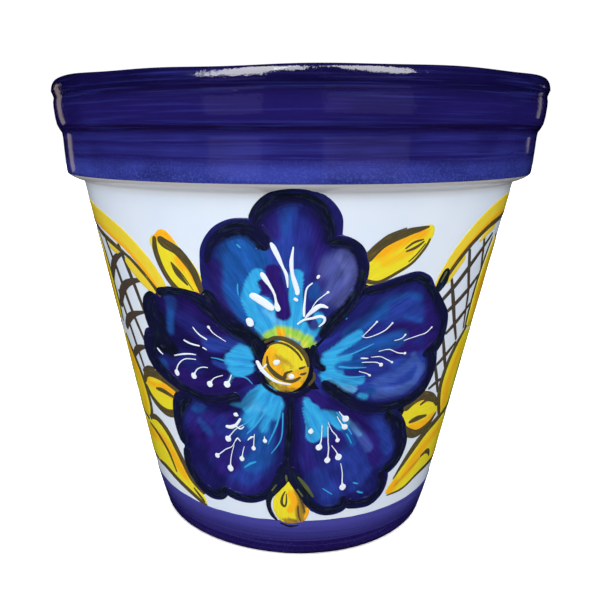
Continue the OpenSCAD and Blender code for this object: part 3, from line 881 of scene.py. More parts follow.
# The dark line round the petals, laid on after the washes.
OUTLINE_WEIGHT = 1.14
OUTLINES = [
    [(-30, 153, 2.6), (-28, 160, 4.4), (-23.4, 165.4, 6), (-16.6, 168.4, 7.6), (-11.4, 167.4, 8.4),
     (-8, 163.4, 8), (-6.8, 159.6, 6.4)],
    [(-10.6, 170, 5), (-8, 175.4, 6), (-4, 179.4, 6.6), (1.4, 181.3, 6.4), (7, 180.8, 6.6),
     (11.8, 177.6, 6.6), (14.6, 172, 5.8), (15.8, 167, 5), (15.4, 162.6, 5)],
    [(15.6, 163.4, 5.4), (21.4, 163, 5), (26.4, 159.4, 5), (29, 153, 4.8), (29, 146.6, 4.6),
     (27.6, 141, 4.8)],
    [(28.6, 143, 5), (24.6, 135, 6), (19, 128, 7), (15, 121, 6)],
    [(-32, 141, 6), (-28, 132, 9), (-21, 125.4, 10), (-13.4, 120.4, 8.6), (-10, 114.6, 6.8),
     (-9.6, 110.6, 5.4)],
    [(-58, 136.4, 4), (-50, 138, 4), (-41, 137.6, 4.4), (-33, 134, 7), (-26, 126, 6)],
    [(-59, 135, 5), (-64.6, 129.4, 8.6), (-65, 121, 10), (-60, 114, 11), (-56.4, 109.6, 6)],
    [(-66, 113, 9), (-71.6, 107, 10.6), (-71.4, 100.6, 10), (-66, 95.4, 8), (-58, 91, 6),
     (-49, 88, 6), (-40, 86.4, 6), (-30, 87.4, 6.4), (-21, 91, 4.8)],
    [(30.6, 141.4, 4), (38, 142.6, 4.6), (46, 145, 4.6), (54, 146, 4.8), (60.6, 142.6, 4.4)],
    [(58, 144, 4), (64, 137.4, 4.6), (70, 130, 5.6), (75, 123.6, 5.8), (76.4, 116, 6),
     (73.6, 110, 7.6), (66, 107, 5)],
    [(70, 109, 6), (73.8, 102, 7), (74.4, 95, 6.4), (70.6, 88.6, 7.4), (63, 84.6, 6),
     (53, 83.4, 6.6), (43, 84, 6.8), (34, 87, 7), (26, 92, 7), (19.6, 97.4, 6.8),
     (16.4, 100, 5.4)], [(11.6, 118, 3), (12.8, 111.6, 4.6), (14.6, 106.4, 5.2)],
    [(12.2, 109.6, 3), (16, 106.6, 4.2), (16.6, 104.8, 3.4)],
    [(-48, 86, 7), (-55.6, 81, 9.6), (-60, 72.6, 8), (-61, 64, 6.6), (-58.6, 56, 6.4)],
    [(-58, 54.4, 6), (-59.6, 46.4, 6), (-57, 39.6, 6.6), (-51.4, 34, 6.6), (-44.8, 31.6, 6.2),
     (-38.4, 33, 6), (-34.6, 38, 5.4)],
    [(-35, 36, 5), (-29, 33.8, 4.6), (-21, 33.6, 4.8), (-13.6, 36, 4.8), (-7, 41, 5.4),
     (-3, 48, 6.4), (0, 56, 7)],
    [(2.2, 94, 5), (2, 84, 4.4), (2, 72, 4.4), (1.4, 62, 5), (0.8, 54, 6.6)],
    [(2, 54, 6), (8, 43, 5), (13.4, 34.4, 5.6), (20, 29.4, 5.6), (27, 28.6, 5.6), (32.4, 31, 6.4),
     (31.8, 36.4, 5)],
    [(34, 31.4, 5.6), (43, 30, 5.4), (50, 30.6, 6), (55, 34.6, 6.6), (56, 41, 7), (53, 47, 6)],
    [(55, 46.4, 7), (62, 51.4, 8.4), (64, 59, 9), (61, 67, 9.4), (56.6, 74, 8.6), (50, 81, 7)],
]

# Thin light streaks that fan out of each throat.
STREAKS = [
    [(-3, 90, 1.2), (-6.6, 81, 1.2), (-11.4, 72.6, 0.8)],
    [(-1.6, 88, 1.2), (-4, 77, 1.3), (-8.6, 66.4, 0.7)],
    [(-0.9, 84, 1), (-1.9, 70, 0.9), (-7, 61.4, 0.7)],
    [(-9, 84, 1.6), (-14, 76.6, 1.5), (-19, 71, 0.8)],
    [(-12, 84, 1.6), (-17.6, 78, 1.2), (-22, 74.6, 0.8)],
    [(-15, 56, 1), (-18.4, 54.4, 1.7), (-22, 51.6, 0.8)],
    [(24, 84, 1), (28.6, 77.6, 1.2), (33, 71, 0.8)], [(30, 72, 1), (32, 68.6, 1), (33.4, 66, 0.7)],
    [(37, 43.4, 0.9), (39, 42.6, 1.3), (40.4, 42.2, 0.8)],
    [(40.2, 37.8, 1), (42, 36.8, 1.7), (44.4, 36, 0.9)],
    [(20, 42, 0.7), (23, 39.8, 1), (25.8, 37.8, 0.6)],
    [(20, 100.6, 1.5), (26, 97.8, 1.4), (33, 96.6, 0.7)],
    [(21, 103.6, 1.5), (28, 101.4, 1.4), (36, 101.2, 0.7)],
    [(23, 107, 1.4), (29, 106, 1.2), (36, 105.6, 0.6)],
    [(23, 110.6, 1.3), (30, 113.4, 1.1), (38, 117, 0.6)],
    [(72, 93.6, 1.6), (73.6, 92.8, 3), (75, 92, 1.6)],
    [(22.6, 130.6, 1), (24, 130.2, 2.2), (25, 129.6, 1)],
    [(-24, 107, 1.2), (-29, 108.4, 1), (-33.4, 108.6, 0.6)],
    [(-22, 101.6, 1), (-17, 100.4, 1), (-14.4, 97.6, 0.6)],
    [(-18, 145, 0.7), (-18.2, 142, 0.9), (-18, 139.6, 0.6)],
    [(-17.4, 162, 0.8), (-16.4, 161, 1.2), (-15.8, 160.4, 0.8)],
]

# White slip: dotted pistils as (dot radius, line width, path), and plain strokes.
PISTILS = [
    (1.8, 0.8, [(-55.1, 95.2), (-54.2, 99.4), (-51.4, 103), (-47.3, 105.6), (-41.4, 106.4)]),
    (1.8, 0.8, [(-44.8, 96), (-43.5, 98.8), (-41.4, 101.5), (-38.5, 103), (-35.5, 103.3)]),
    (1.8, 0.7, [(-36.4, 93.4), (-35, 96), (-32.6, 98.6), (-28.2, 100.6)]),
    (1.9, 1, [(-27.6, 94.8), (-25.5, 98), (-24, 101.4)]),
    (0.8, 0.6, [(-32.9, 124.2), (-30.8, 121.2), (-27.3, 118.9), (-25, 117.6)]),
    (1.1, 0.6, [(43.6, 105.6), (40.6, 107.6), (36.5, 108.2), (33.4, 108.4)]),
    (0.7, 0.6, [(48.8, 106.4), (45.3, 108.5), (41.8, 110.3), (37.4, 110.6)]),
    (0.8, 0.6, [(55.2, 110), (50.6, 111), (45.6, 113.4), (40.6, 113)]),
    (0.7, 0.6, [(38.4, 101.2), (36, 102.8), (32.6, 104)]),
    (0.6, 0.6, [(38.2, 127.8), (35.3, 124.4), (32.4, 121.2)]),
    (0.6, 0.6, [(45.5, 126.4), (42.4, 123.2), (38.2, 121.2), (34, 120.3), (31.8, 121.4)]),
    (0.6, 0.5, [(53.1, 119.9), (51.2, 118), (47.6, 117.4)]),
    (0.6, 0.6, [(68, 121), (64.7, 118.6), (60.6, 118), (56, 117.4), (52.4, 116.7)]),
    (1.3, 0.9, [(-24.9, 81.2), (-23.6, 80.8), (-22.4, 80.4)]),
    (1.9, 0.7, [(-30.2, 65.4), (-27.5, 69.4), (-24.4, 73), (-20.6, 75.8)]),
    (1.6, 0.7, [(-38.2, 54.9), (-34.4, 58), (-31.3, 60.6), (-27.5, 63), (-25, 67.2)]),
    (2, 0.7, [(-30.2, 48.2), (-29.4, 53.8), (-28.4, 58), (-26.3, 64)]),
    (1.6, 0.7, [(-23, 55.4), (-22, 60), (-20.8, 64)]),
    (1.3, 0.7, [(-16, 62.4), (-15.6, 67), (-15, 71.6)]),
    (1.3, 0.7, [(-9.8, 67.2), (-10, 69.4), (-10.2, 71)]),
    (1.9, 0.9, [(30, 79), (27.5, 81.3), (25.2, 84.2)]),
    (1.7, 0.8, [(29.8, 74.8), (27, 77.6), (24.4, 81.8)]),
    (1.5, 1, [(12.2, 73), (12.4, 74.8), (12.6, 76)]),
    (1.9, 0.8, [(16.2, 64), (17.6, 69.4), (17.5, 77.6)]),
    (1.8, 0.8, [(21.3, 56.6), (21.6, 63.8), (21, 69), (20.4, 77)]),
    (1.3, 0.7, [(26, 67.8), (25, 71.3), (22.5, 74.4), (20.3, 79)]),
    (2, 0.8, [(27.7, 57.8), (26, 62), (23, 66.2)]),
    (2.1, 0.8, [(31.6, 40), (30.6, 45), (30, 50.6), (28.6, 55.8)]),
    (0.7, 0.5, [(17, 142.4), (12.4, 138.2), (10, 133.6), (7.9, 130.4)]),
]
WHITES = [
    [(-4.8, 163.2, 0.8), (-3.8, 161, 2), (-1.9, 156.4, 1.7), (-0.6, 153, 1.1), (0.8, 149.4, 1.3),
     (1.3, 144, 0.5)],
    [(3.3, 161.6, 0.5), (2.6, 155, 1.5), (3, 150, 1.4), (4, 146, 1.9), (4.9, 142.6, 1.9),
     (4.8, 140.8, 1.5)], [(3.6, 139.4, 1.5), (5.2, 138.2, 1.5)],
    [(-8.6, 150.4, 1.6), (-7.4, 148, 2.2), (-5.2, 144.2, 1.2), (-3.8, 141, 1), (-3.2, 137.6, 1.1),
     (-2.9, 135.6, 2.2), (-2.2, 133.4, 2.2)],
    [(-13.4, 140.6, 2.8), (-10.4, 138.8, 3.3), (-7, 136.4, 3.3), (-4.2, 134, 2.6)],
    [(-14.5, 129.8, 3), (-13.5, 125.8, 3.2)], [(12.9, 149.6, 1.4), (12.2, 148, 1.1)],
    [(10.6, 146.2, 0.6), (8.4, 143.6, 0.7), (7.8, 138, 0.8), (7.6, 134, 1.1), (7.7, 131, 0.9)],
    [(17, 135, 0.8), (14, 136, 1.9), (11.2, 134, 2), (8.2, 130.6, 0.8)],
    [(5, 127.6, 0.7), (7.6, 129.6, 1), (11, 130.4, 1.2), (14, 131.2, 1.4), (15.8, 130.4, 1.2),
     (15.6, 128.4, 1), (13.6, 126.4, 0.6)],
    [(-40.6, 122.6, 0.5), (-37.9, 119.4, 0.7), (-34, 117.3, 0.8)],
    [(-46.8, 115.2, 0.9), (-43.2, 114, 0.9), (-38.2, 113.6, 0.7)],
    [(-37, 113.2, 0.6), (-34.8, 112.2, 0.5)],
    [(-54.4, 105.8, 0.5), (-49, 107.6, 0.9), (-44.4, 108.6, 0.8), (-41, 108.8, 0.5)],
    [(-66, 107.2, 1), (-64.4, 105.7, 1.1), (-62.3, 104.6, 0.6)],
    [(-29.9, 73.6, 1.5), (-27, 73.6, 2), (-24, 75.4, 1.5), (-21.4, 79.2, 1.2)],
    [(-18.8, 67.6, 0.5), (-17, 69.4, 1), (-15.4, 70, 0.6)],
    [(-24.4, 74.6, 0.6), (-22, 73.4, 0.9), (-20, 75, 0.6)],
    [(-22.6, 66.4, 0.5), (-24, 68, 0.9), (-25.6, 66, 0.5)],
    [(32.6, 110.5, 0.7), (36.2, 110.1, 0.6)],
]

# Soft yellow leaves between the petals: outline, brush axis, washes.
LEAVES = [
    ([(-56.2, 158.6), (-55.2, 162.4), (-53, 163.6), (-50.8, 165.6), (-48, 166.2), (-45.4, 164.6),
      (-41.6, 159.4), (-35.6, 151.6), (-32.4, 143.4), (-31.6, 135), (-34, 132.6), (-40, 135),
      (-46.6, 139), (-52.4, 147.8)],
     [(-34, 136), (-50, 165)],
     [("lemon", 9, 3, 1, [(-51.6, 157), (-47.6, 147), (-38, 137.6)]),
      ("amber", 5, 2, 1, [(-42, 153), (-36, 144), (-34, 137)]),
      ("amber", 6, 2, 1, [(-51, 164), (-46, 162)]),
      ("lemon", 2.4, 1.5, 0.8, [(-40, 148), (-37, 141)])]),
    ([(30, 148), (29.4, 156.6), (36, 163.6), (45, 167), (56.4, 168.8), (57.4, 162.6),
      (51.4, 153.2), (44, 148), (37, 145), (31.4, 144.4)],
     [(32, 148), (58, 170)],
     [("lemon", 14, 5, 1, [(36, 150), (48, 156), (56, 163)]),
      ("amber", 6, 3, 1, [(34, 159), (44, 163), (52, 166)]),
      ("amber", 3, 2, 0.6, [(38, 154), (48, 158)])]),
    ([(-88.6, 83), (-84, 89.6), (-75, 92), (-65, 91.4), (-57, 87.6), (-54, 81), (-58, 74.6),
      (-68, 70), (-79, 72), (-86.6, 78)],
     [(-88, 81), (-55, 80)],
     [("lemon", 10, 5, 1, [(-82, 78), (-70, 75), (-60, 78)]),
      ("amber", 9, 5, 1, [(-82, 87), (-70, 87), (-60, 84)]),
      ("lemon", 2.4, 1, 0.9, [(-80, 86.6), (-70, 88)])]),
    ([(60.6, 76), (65.6, 83), (73, 85), (82.4, 82.6), (91.4, 75.4), (93, 68.4), (86.4, 63.4),
      (77, 61.4), (68, 64.6), (63, 70)],
     [(61, 76), (92, 69)],
     [("lemon", 12, 5, 1, [(66, 76), (76, 77), (88, 70)]),
      ("amber", 6, 3, 1, [(70, 67), (80, 66), (88, 67)]),
      ("amber", 3, 2, 0.8, [(70, 82), (80, 80)])]),
    ([(1.2, 46), (-4, 40), (-7, 33.6), (-6.4, 27.6), (-3.4, 22.6), (2, 19.8), (8, 20.2),
      (12.6, 24.6), (13.6, 31), (12, 38), (7, 45)],
     [(1, 20), (1, 45)],
     [("ochre", 9, 1.6, 1, [(9, 44), (9.6, 27)]), ("ochre", 5, 1.6, 1, [(-1, 21.4), (8, 21.6)]),
      ("amber", 4, 1, 1, [(3, 39), (5, 34), (3, 29)]),
      ("lemon", 3, 0.9, 1, [(1, 43), (-1.6, 39)]),
      ("lemon", 4, 0.9, 1, [(-3.6, 37.6), (-5, 33.4), (-4, 28), (-1.6, 26)]),
      ("amber", 2.6, 1.2, 1, [(12.4, 29.6), (12, 25)]),
      ("lemon", 1.8, 1, 0.8, [(-5, 23.6), (-2, 21.6)]),
      ("olive", 1.6, 1, 0.8, [(8, 38), (10.6, 28)]),
      ("olive", 1.4, 1, 0.8, [(2, 24), (6, 22.4)])]),
]
# Their olive lines, and the dark and green touches beside them.
LEAF_LINES = [
    [(-53, 162.8, 2), (-53.8, 156, 3), (-51.6, 147.8, 2.8), (-47.2, 141, 2.8), (-40, 135.6, 2.4)],
    [(-51.2, 162.6, 3), (-48.4, 160.2, 4.6), (-42.4, 157, 4.2), (-36.8, 149.4, 3.6),
     (-34.4, 142, 2.8), (-33.6, 137, 1.2)],
    [(-46.6, 152, 0.8), (-44, 147, 2.6), (-39.8, 142, 0.8)],
    [(-46, 151.6, 0.5), (-42, 147, 0.7), (-37.6, 140, 0.4)],
    [(29.6, 154.6, 4), (36, 162, 4), (45, 166, 3.4), (51, 167.4, 2.2), (55, 168.2, 0.8)],
    [(56.4, 163, 0.9), (54.6, 158.8, 1.3), (50, 153, 1.3), (43.6, 149, 1.4), (36.3, 145.4, 1.6),
     (30.6, 146.4, 2)], [(54.6, 161, 0.5), (51.4, 156.6, 0.7), (48, 153.4, 0.6)],
    [(45.6, 159.2, 0.7), (49.2, 161.8, 1.1), (53.4, 162.8, 0.7)],
    [(46, 158, 0.7), (50.4, 159.6, 1.4), (53.8, 162, 0.7)],
    [(30.4, 158.4, 0.6), (37, 165, 0.8), (45, 168.2, 0.6)],
    [(-88.4, 83, 3.2), (-84, 88.8, 4.4), (-75, 91, 4.8), (-65, 90, 4.6), (-55, 85.6, 3.4)],
    [(-88.2, 81.6, 2.6), (-82.6, 74.8, 4), (-72, 71, 4.6), (-62, 72.8, 4.2), (-56, 77, 3)],
    [(-76.4, 82.6, 1.2), (-70, 83.2, 2.8), (-64, 82.4, 2.2), (-58.6, 81.4, 1.2)],
    [(61.4, 79, 5), (66, 82.6, 5.6), (73, 84, 5), (82.6, 81, 4), (91.2, 74, 2.6)],
    [(73, 79, 1.4), (79, 80.6, 2.2), (85, 78, 1.6)],
    [(63, 70, 3), (68, 65.4, 4.6), (76, 62.4, 4.6), (86, 64.6, 3.8), (92.6, 69.6, 2.2)],
    [(67, 71, 1.6), (73, 71.6, 3.2), (81.7, 71, 1.2)],
    [(0, 40.4, 0.6), (-1.6, 36.8, 1.2), (-2, 33, 1.6), (-0.4, 31.2, 1.2), (0.6, 34, 1),
     (0.6, 39, 0.5)], [(7.6, 38, 1), (9.6, 33, 1.2), (11, 28, 0.6)],
    [(7, 32, 0.8), (7.6, 26, 1), (9, 22, 0.6)],
]
DARK_LINES = [
    [(1, 55, 2), (-1.4, 48.4, 7), (-5, 42.6, 6), (-8.6, 36.6, 3.6), (-9.4, 31, 2.6),
     (-7.6, 25.6, 2.2), (-4.6, 22.4, 1)],
    [(1, 55, 2), (4.4, 48.6, 6.6), (8, 42.6, 6.4), (10.6, 38, 5.6), (13, 33.6, 3)],
    [(-3, 21, 1), (2.6, 19.2, 1.5), (7.6, 20, 0.8)],
    [(65.4, 137.4, 3), (68.6, 143, 6), (69.6, 148.4, 3)], [(28.6, 146, 2.4), (29.4, 151, 2.6)],
]
GREEN_LINES = [
    [(6.6, 49, 1.2), (11, 43.4, 2.2), (15.4, 37, 1)],
    [(0.4, 50, 0.9), (0.6, 48, 1.4), (1, 46, 0.8)], [(6.4, 42, 1), (9.6, 37.4, 1.2)],
    [(-4.6, 44, 0.8), (-7.4, 40, 1)], [(67, 142, 1), (69.4, 147, 1.6)],
]

# The flower's yellow eye.
EYE_WASHES = [
    ("lemon", 8, 3, 0.85, [(-2, 116), (3, 113.6), (6, 110)]),
    ("amber", 5, 2.4, 0.8, [(-6.4, 114), (-5.6, 108), (-2, 104)]),
    ("lemon", 4, 2, 0.8, [(1.6, 107), (6, 108)]),
    ("ochre", 1.6, 1.4, 0.7, [(-3.4, 112), (0.6, 110), (3, 107.4)]),
    ("amber", 3.4, 2, 0.9, [(4, 102), (7, 104)]),
    ("moss", 3, 1.4, 0.9, [(-9.6, 104), (-6, 98.4), (0, 95.2)]),
    ("lemon", 2, 1.6, 0.6, [(-7.6, 98.4), (-3, 96)]),
    ("ochre", 3, 1.2, 1, [(-1, 96.4), (6.4, 97), (10.4, 100)]),
    ("amber", 3, 1, 1, [(2.6, 98.6), (6, 98.6)]),
    ("olive", 2, 1, 1, [(-10.4, 103), (-5, 95.6), (1.6, 94), (8, 95.6)]),
]
EYE_LINES = [
    [(-8.4, 118.6, 1.4), (-4, 121, 2), (1, 120.2, 2.2), (6, 116.6, 2.2), (9, 112, 2),
     (10.2, 107.2, 1.2)],
    [(-7.4, 116.8, 0.6), (-3.4, 118.8, 1), (1, 117.8, 1.1), (5, 114.4, 1.1), (7.4, 110.4, 0.8)],
    [(-7.4, 112.4, 0.6), (-7, 107.4, 1.6), (-4, 103.4, 2.4), (-0.4, 101.4, 2), (0.4, 104, 1.4),
     (3.4, 105.4, 0.8)], [(-1, 100.6, 1), (3.4, 100.2, 1.8), (7, 102.4, 1)],
    [(6, 106.4, 1.2), (7.4, 106.9, 1.2), (9, 107.6, 0.6)],
    [(6.6, 103.6, 1), (8.2, 103.9, 1.3), (9.4, 104.6, 0.6)],
    [(12.4, 104.8, 1), (12.8, 101.8, 1.5), (10.4, 98, 1.2)],
]
EYE_RIM = [
    [(-12, 104, 2), (-8.6, 97.4, 2.4), (-2, 93.4, 2.4), (6, 93.4, 2.6), (11.4, 97, 3)],
    [(-12.8, 120, 5.4), (-11.4, 115, 6.4), (-10.4, 111, 5.6)],
]
EYE_WHITES = [
    [(-12, 109.8, 1.5), (-10.2, 106, 2), (-7.2, 102.4, 1.7), (-3, 99.6, 1.3), (2.6, 98.6, 0.6)],
    [(-10.6, 104.6, 1), (-7.6, 108.4, 0.7)], [(-4.7, 108.6, 3.2), (-2, 110.2, 1.8)],
    [(1.6, 102.4, 2.8), (4.2, 102.8, 2.4)],
]

# ---- the side drawings: the half beside the front flower ---------------------------------------

SIDES = {
    "right": {
        "arch": [
            [(65.6, 138, 4), (68, 144, 6), (73.6, 153.4, 7), (80.8, 161.4, 7.4),
             (89.6, 167.6, 7.8), (99, 171.6, 7.8), (108, 173.6, 7.8), (128, 175, 7.8),
             (154, 175.4, 7.8)], [(71, 141, 2.6), (75, 147, 4), (80.4, 152.6, 3)],
            [(90, 158, 2), (97, 161.6, 3.4), (105, 163.6, 2.6)],
        ],
        "arch_glow": [
            [(69.4, 143.6, 1.4), (75.4, 152.4, 2.4), (83.4, 160, 2.4), (93.6, 166, 2.4),
             (105, 168.8, 2.4), (128, 171, 2.4), (153, 171.4, 2.4)],
        ],
        "arch_lines": [
            [(69.4, 143, 2.4), (76, 151.4, 3), (84, 158.4, 3), (94, 163.6, 3), (105, 166, 3),
             (128, 168.6, 3), (153, 168.8, 3)],
        ],
        "lattice": [
            [(82.6, 155.4, 2), (87.2, 144, 2.4), (92.8, 132.8, 2.2), (96, 122.8, 2),
             (99.6, 113, 1.6)], [(94, 160, 1.8), (97.8, 151.7, 2.4), (101.7, 142.8, 1.8)],
            [(74, 143, 1.6), (80, 130.6, 2.6), (86, 119.4, 2.4), (93.4, 108.6, 1.8)],
            [(78.6, 113.6, 1.8), (85, 101.7, 2.6), (90.6, 92.6, 1.8)],
            [(77.4, 100, 1.8), (82.8, 90.6, 2.4), (87.6, 82, 1.6)],
            [(70.2, 132.4, 2.2), (80, 140.6, 3), (88.3, 148.3, 3), (97.2, 155, 2.6),
             (105, 160, 1.8)],
            [(76.6, 126.4, 2.2), (88.3, 132.8, 3), (100.8, 140.4, 2.2)],
            [(80, 114.6, 2), (88.3, 119.4, 3), (99.6, 126, 2)],
            [(78.4, 98.6, 2), (86, 102.8, 2.8), (94, 107.6, 1.8)],
            [(77, 86.6, 1.6), (83, 88.6, 2.2), (89, 89.6, 1.4)],
        ],
        "leaves": [
            ([(113, 157.6), (107, 149.6), (103, 137), (102.6, 124), (104.6, 113), (116, 110),
              (131, 104), (143, 100), (141, 118), (131, 137), (121, 151)],
             [(108, 112), (113, 157)],
             [("amber", 9, 5, 0.9, [(112, 120), (112, 136), (116, 150)]),
              ("amber", 7, 4, 0.8, [(137, 106), (132, 126), (122, 144)]),
              ("ochre", 2.4, 2, 0.5, [(107, 114), (122, 111), (138, 104)])]),
            ([(103.8, 111), (95, 104.6), (90, 95), (90, 83), (94.6, 72), (101.8, 64.6), (121, 66),
              (141, 62), (143, 80), (137, 95), (121, 107)],
             [(100, 64), (104, 111)],
             [("amber", 8, 5, 0.9, [(101, 72), (99, 86), (103, 102)]),
              ("amber", 8, 4, 0.8, [(134, 70), (136, 84), (126, 98)]),
              ("ochre", 2.4, 2, 0.5, [(102, 67), (120, 69), (139, 65)])]),
            ([(60.6, 31.6), (69, 43.6), (78, 54), (90, 61.4), (105, 63), (123, 62), (143, 58),
              (145, 46), (131, 38), (111, 35), (93, 35), (76, 31)],
             [(61, 32), (104, 52)],
             [("amber", 8, 5, 0.95, [(74, 40), (86, 50), (104, 56)]),
              ("lemon", 5, 3, 0.9, [(76, 34), (92, 39)]),
              ("amber", 6, 3, 1, [(60, 30), (67, 36)]),
              ("ochre", 1.6, 1.6, 0.6, [(68, 35), (80, 42), (90, 46)]),
              ("amber", 6, 4, 0.8, [(112, 40), (128, 44), (140, 50)])]),
        ],
        "lines": [
            [(107, 158, 1.6), (103.4, 149.6, 2.4), (100.8, 136, 2.6), (100.6, 122.8, 2.6),
             (102.4, 112, 2)],
            [(105, 113.4, 2.4), (96.4, 106.4, 3.8), (90.6, 97, 4), (89, 86, 3.8),
             (91.6, 76.6, 3.6), (96.4, 69, 3.2), (101, 63.4, 2.4)],
            [(64.6, 39, 1), (70, 46.4, 3), (77.6, 54.8, 4.8), (86.6, 61, 4.6), (99.4, 64.4, 4),
             (118, 66, 3.4), (143, 61, 2.6)],
            [(62, 30, 0.8), (75, 30.4, 1.6), (88.3, 34.4, 2.4), (101.7, 35.4, 3), (118, 35, 3.2),
             (134, 38, 2.6)],
            [(86.6, 45.6, 1.6), (93, 46.4, 3), (98, 44.4, 2.8), (101, 41, 1.6)],
        ],
    },
    "left": {
        "arch": [
            [(-52, 135.6, 4), (-55.4, 141.8, 6), (-62, 150.2, 7.4), (-72.6, 158.8, 7.8),
             (-84.8, 164.2, 8), (-98, 167.8, 8), (-120, 172, 7.8), (-154, 175.4, 7.8)],
            [(-58.6, 136, 4), (-65, 141, 6.4), (-73, 146.6, 5.4), (-77, 149.6, 3)],
            [(-82, 151.6, 2.4), (-87, 153.4, 5), (-92, 154.6, 4)],
        ],
        "arch_glow": [
            [(-56, 137.4, 1.4), (-63.4, 146.4, 2.4), (-73.4, 154.4, 2.6), (-85.6, 159.4, 2.6),
             (-99, 163, 2.6), (-124, 168, 2.6), (-153, 171.4, 2.6)],
        ],
        "arch_lines": [
            [(-56, 134.4, 2), (-61.6, 141, 1), (-68.6, 147, 1.2), (-74.4, 151, 1.8),
             (-85.6, 155, 2.8), (-99, 158.6, 3), (-124, 165.4, 2.8), (-153, 168.8, 2.8)],
            [(-56.4, 137, 1), (-64, 144.6, 1), (-72, 150.2, 1.4), (-80, 153.4, 1)],
        ],
        "lattice": [
            [(-81, 156, 2.6), (-75.6, 141.7, 3.2), (-70.4, 124, 2.2)],
            [(-96, 156.6, 2.4), (-89, 140.6, 3.4), (-83.3, 122.8, 3.2), (-76, 106.6, 2.2)],
            [(-96, 130.6, 2.4), (-90, 109.4, 3.2), (-85, 91, 2.2)],
            [(-102, 134.4, 4), (-96.6, 141, 5.4), (-88, 147.6, 3.8), (-79, 151.4, 1.6)],
            [(-99, 121, 4), (-92.6, 128.6, 5.6), (-84, 135, 4.6), (-74, 139, 2.8),
             (-63, 141.4, 1.2)],
            [(-99, 109.6, 4), (-92, 115.4, 5), (-84, 119.8, 3.8), (-77, 122.4, 2.4),
             (-69, 124.6, 1.2)],
            [(-98.4, 94, 3.4), (-90, 99.8, 4.2), (-82, 103.4, 2.8), (-75.6, 105, 1.2)],
            [(-88, 88.6, 2), (-80, 92.6, 2.8), (-73, 94.4, 1.4)],
        ],
        "leaves": [
            ([(-113, 157.6), (-107, 149.6), (-103.6, 137), (-103, 124), (-105, 114), (-116, 110),
              (-131, 104), (-143, 100), (-141, 118), (-131, 137), (-121, 151)],
             [(-108, 112), (-113, 157)],
             [("amber", 9, 5, 0.9, [(-112, 120), (-112, 136), (-116, 150)]),
              ("amber", 7, 4, 0.8, [(-137, 106), (-132, 126), (-122, 144)]),
              ("ochre", 2.4, 2, 0.5, [(-107, 114), (-122, 111), (-138, 104)])]),
            ([(-104, 104), (-97, 96), (-92, 87), (-89.4, 77), (-90.4, 67), (-96, 60), (-108, 59),
              (-122, 62), (-141, 62), (-143, 80), (-137, 95), (-121, 106)],
             [(-97, 60), (-104, 104)],
             [("amber", 8, 5, 0.9, [(-98, 66), (-97, 80), (-103, 96)]),
              ("amber", 8, 4, 0.8, [(-134, 70), (-136, 84), (-126, 98)]),
              ("ochre", 2.4, 2, 0.5, [(-97, 61), (-120, 65), (-139, 65)])]),
            ([(-99, 58), (-84.4, 62), (-75, 57), (-67.5, 46), (-61, 36), (-52.6, 29), (-51, 22.6),
              (-62, 25.6), (-73, 29.4), (-87.8, 33), (-98, 33.4), (-112, 34.6), (-131, 38),
              (-145, 46), (-143, 56), (-123, 57), (-110, 56)],
             [(-52, 25), (-104, 50)],
             [("amber", 8, 5, 0.9, [(-66, 36), (-80, 50), (-100, 50)]),
              ("lemon", 5, 3, 0.9, [(-60, 28), (-76, 34), (-94, 38)])]),
        ],
        "lines": [
            [(-107, 158, 1.6), (-103.8, 149.6, 2.4), (-101.4, 136, 2.6), (-101.2, 122.8, 2.6),
             (-103, 112, 2)],
            [(-105, 105, 2.4), (-98.4, 97.4, 3.6), (-92, 87.6, 3.8), (-88.8, 77, 3.8),
             (-89.4, 66.6, 3.4), (-95, 59, 2.4)],
            [(-96, 60, 2.4), (-84.4, 63.2, 3.8), (-74.4, 58.4, 4.4), (-66.7, 47, 4.4),
             (-60, 35.6, 3.8), (-51, 29, 2.4)],
            [(-98.6, 32.6, 2.4), (-87.8, 33.2, 3.6), (-73.3, 29.6, 3.6), (-61, 25.6, 3.2),
             (-50.6, 21.4, 2.2)],
            [(-99, 55.8, 1.6), (-88, 52.8, 3), (-79, 45.6, 3), (-74, 34.6, 1.6)],
            [(-59.6, 30.4, 1.4), (-55, 26.4, 2.2), (-52, 23.6, 1.6)],
            [(-98, 58, 2.4), (-118, 60, 3.2), (-143, 60, 2.4)],
            [(-98.6, 33, 2.4), (-116, 34.6, 3.2), (-134, 38, 2.6)],
        ],
    },
}

# A quarter turn along the wall from the flower lies the middle of a panel. The bud stands on it,
# and its points are counted from there.
SIDE_MIDDLE = 150.8
BUD = ([(0, 152), (-6, 138), (-6, 122), (0, 108), (6, 122), (6, 138)],
       [(0, 108), (0, 152)], [("amber", 5, 3, 0.9, [(0, 116), (0, 144)])])
BUD_LINE = [(0, 154, 1.6), (-6.8, 138.6, 2.8), (-6.8, 121.4, 2.8), (0, 106.6, 1.6)]
# Lines of the hidden halves of the big leaves: the right side, and the left one mirrored.
FAR_LINES = [
    [(113, 158.6, 2), (122, 151.6, 3), (132, 137.6, 3.2), (142, 118, 3), (144, 101, 2)],
    [(121, 107.6, 2), (137.6, 95.6, 3), (144, 80, 3), (142, 63, 2)],
    [(110, 62, 1.8), (115, 78, 3), (113, 94, 1.6)],
    [(118, 116, 1.8), (121, 130, 3), (117, 144, 1.6)],
]


def moved(points, along):
    """Drawing points moved along the wall."""
    return [(point[0] + along, *point[1:]) for point in points]


# ---- building the pieces ------------------------------------------------------------------------

def settle(piece, turn, slot, nodes, finish):
    """Lays a flat piece on the wall, closes it into a solid and hands it over."""
    lay_on_wall(piece, turn)
    thicken(piece)
    finish_piece(piece, material(finish), slot, *nodes)


def copy_of(piece, name):
    """A copy of a piece with its own mesh."""
    only(piece)
    bpy.ops.object.duplicate()
    twin = bpy.context.object
    twin.name = twin.data.name = name
    return twin


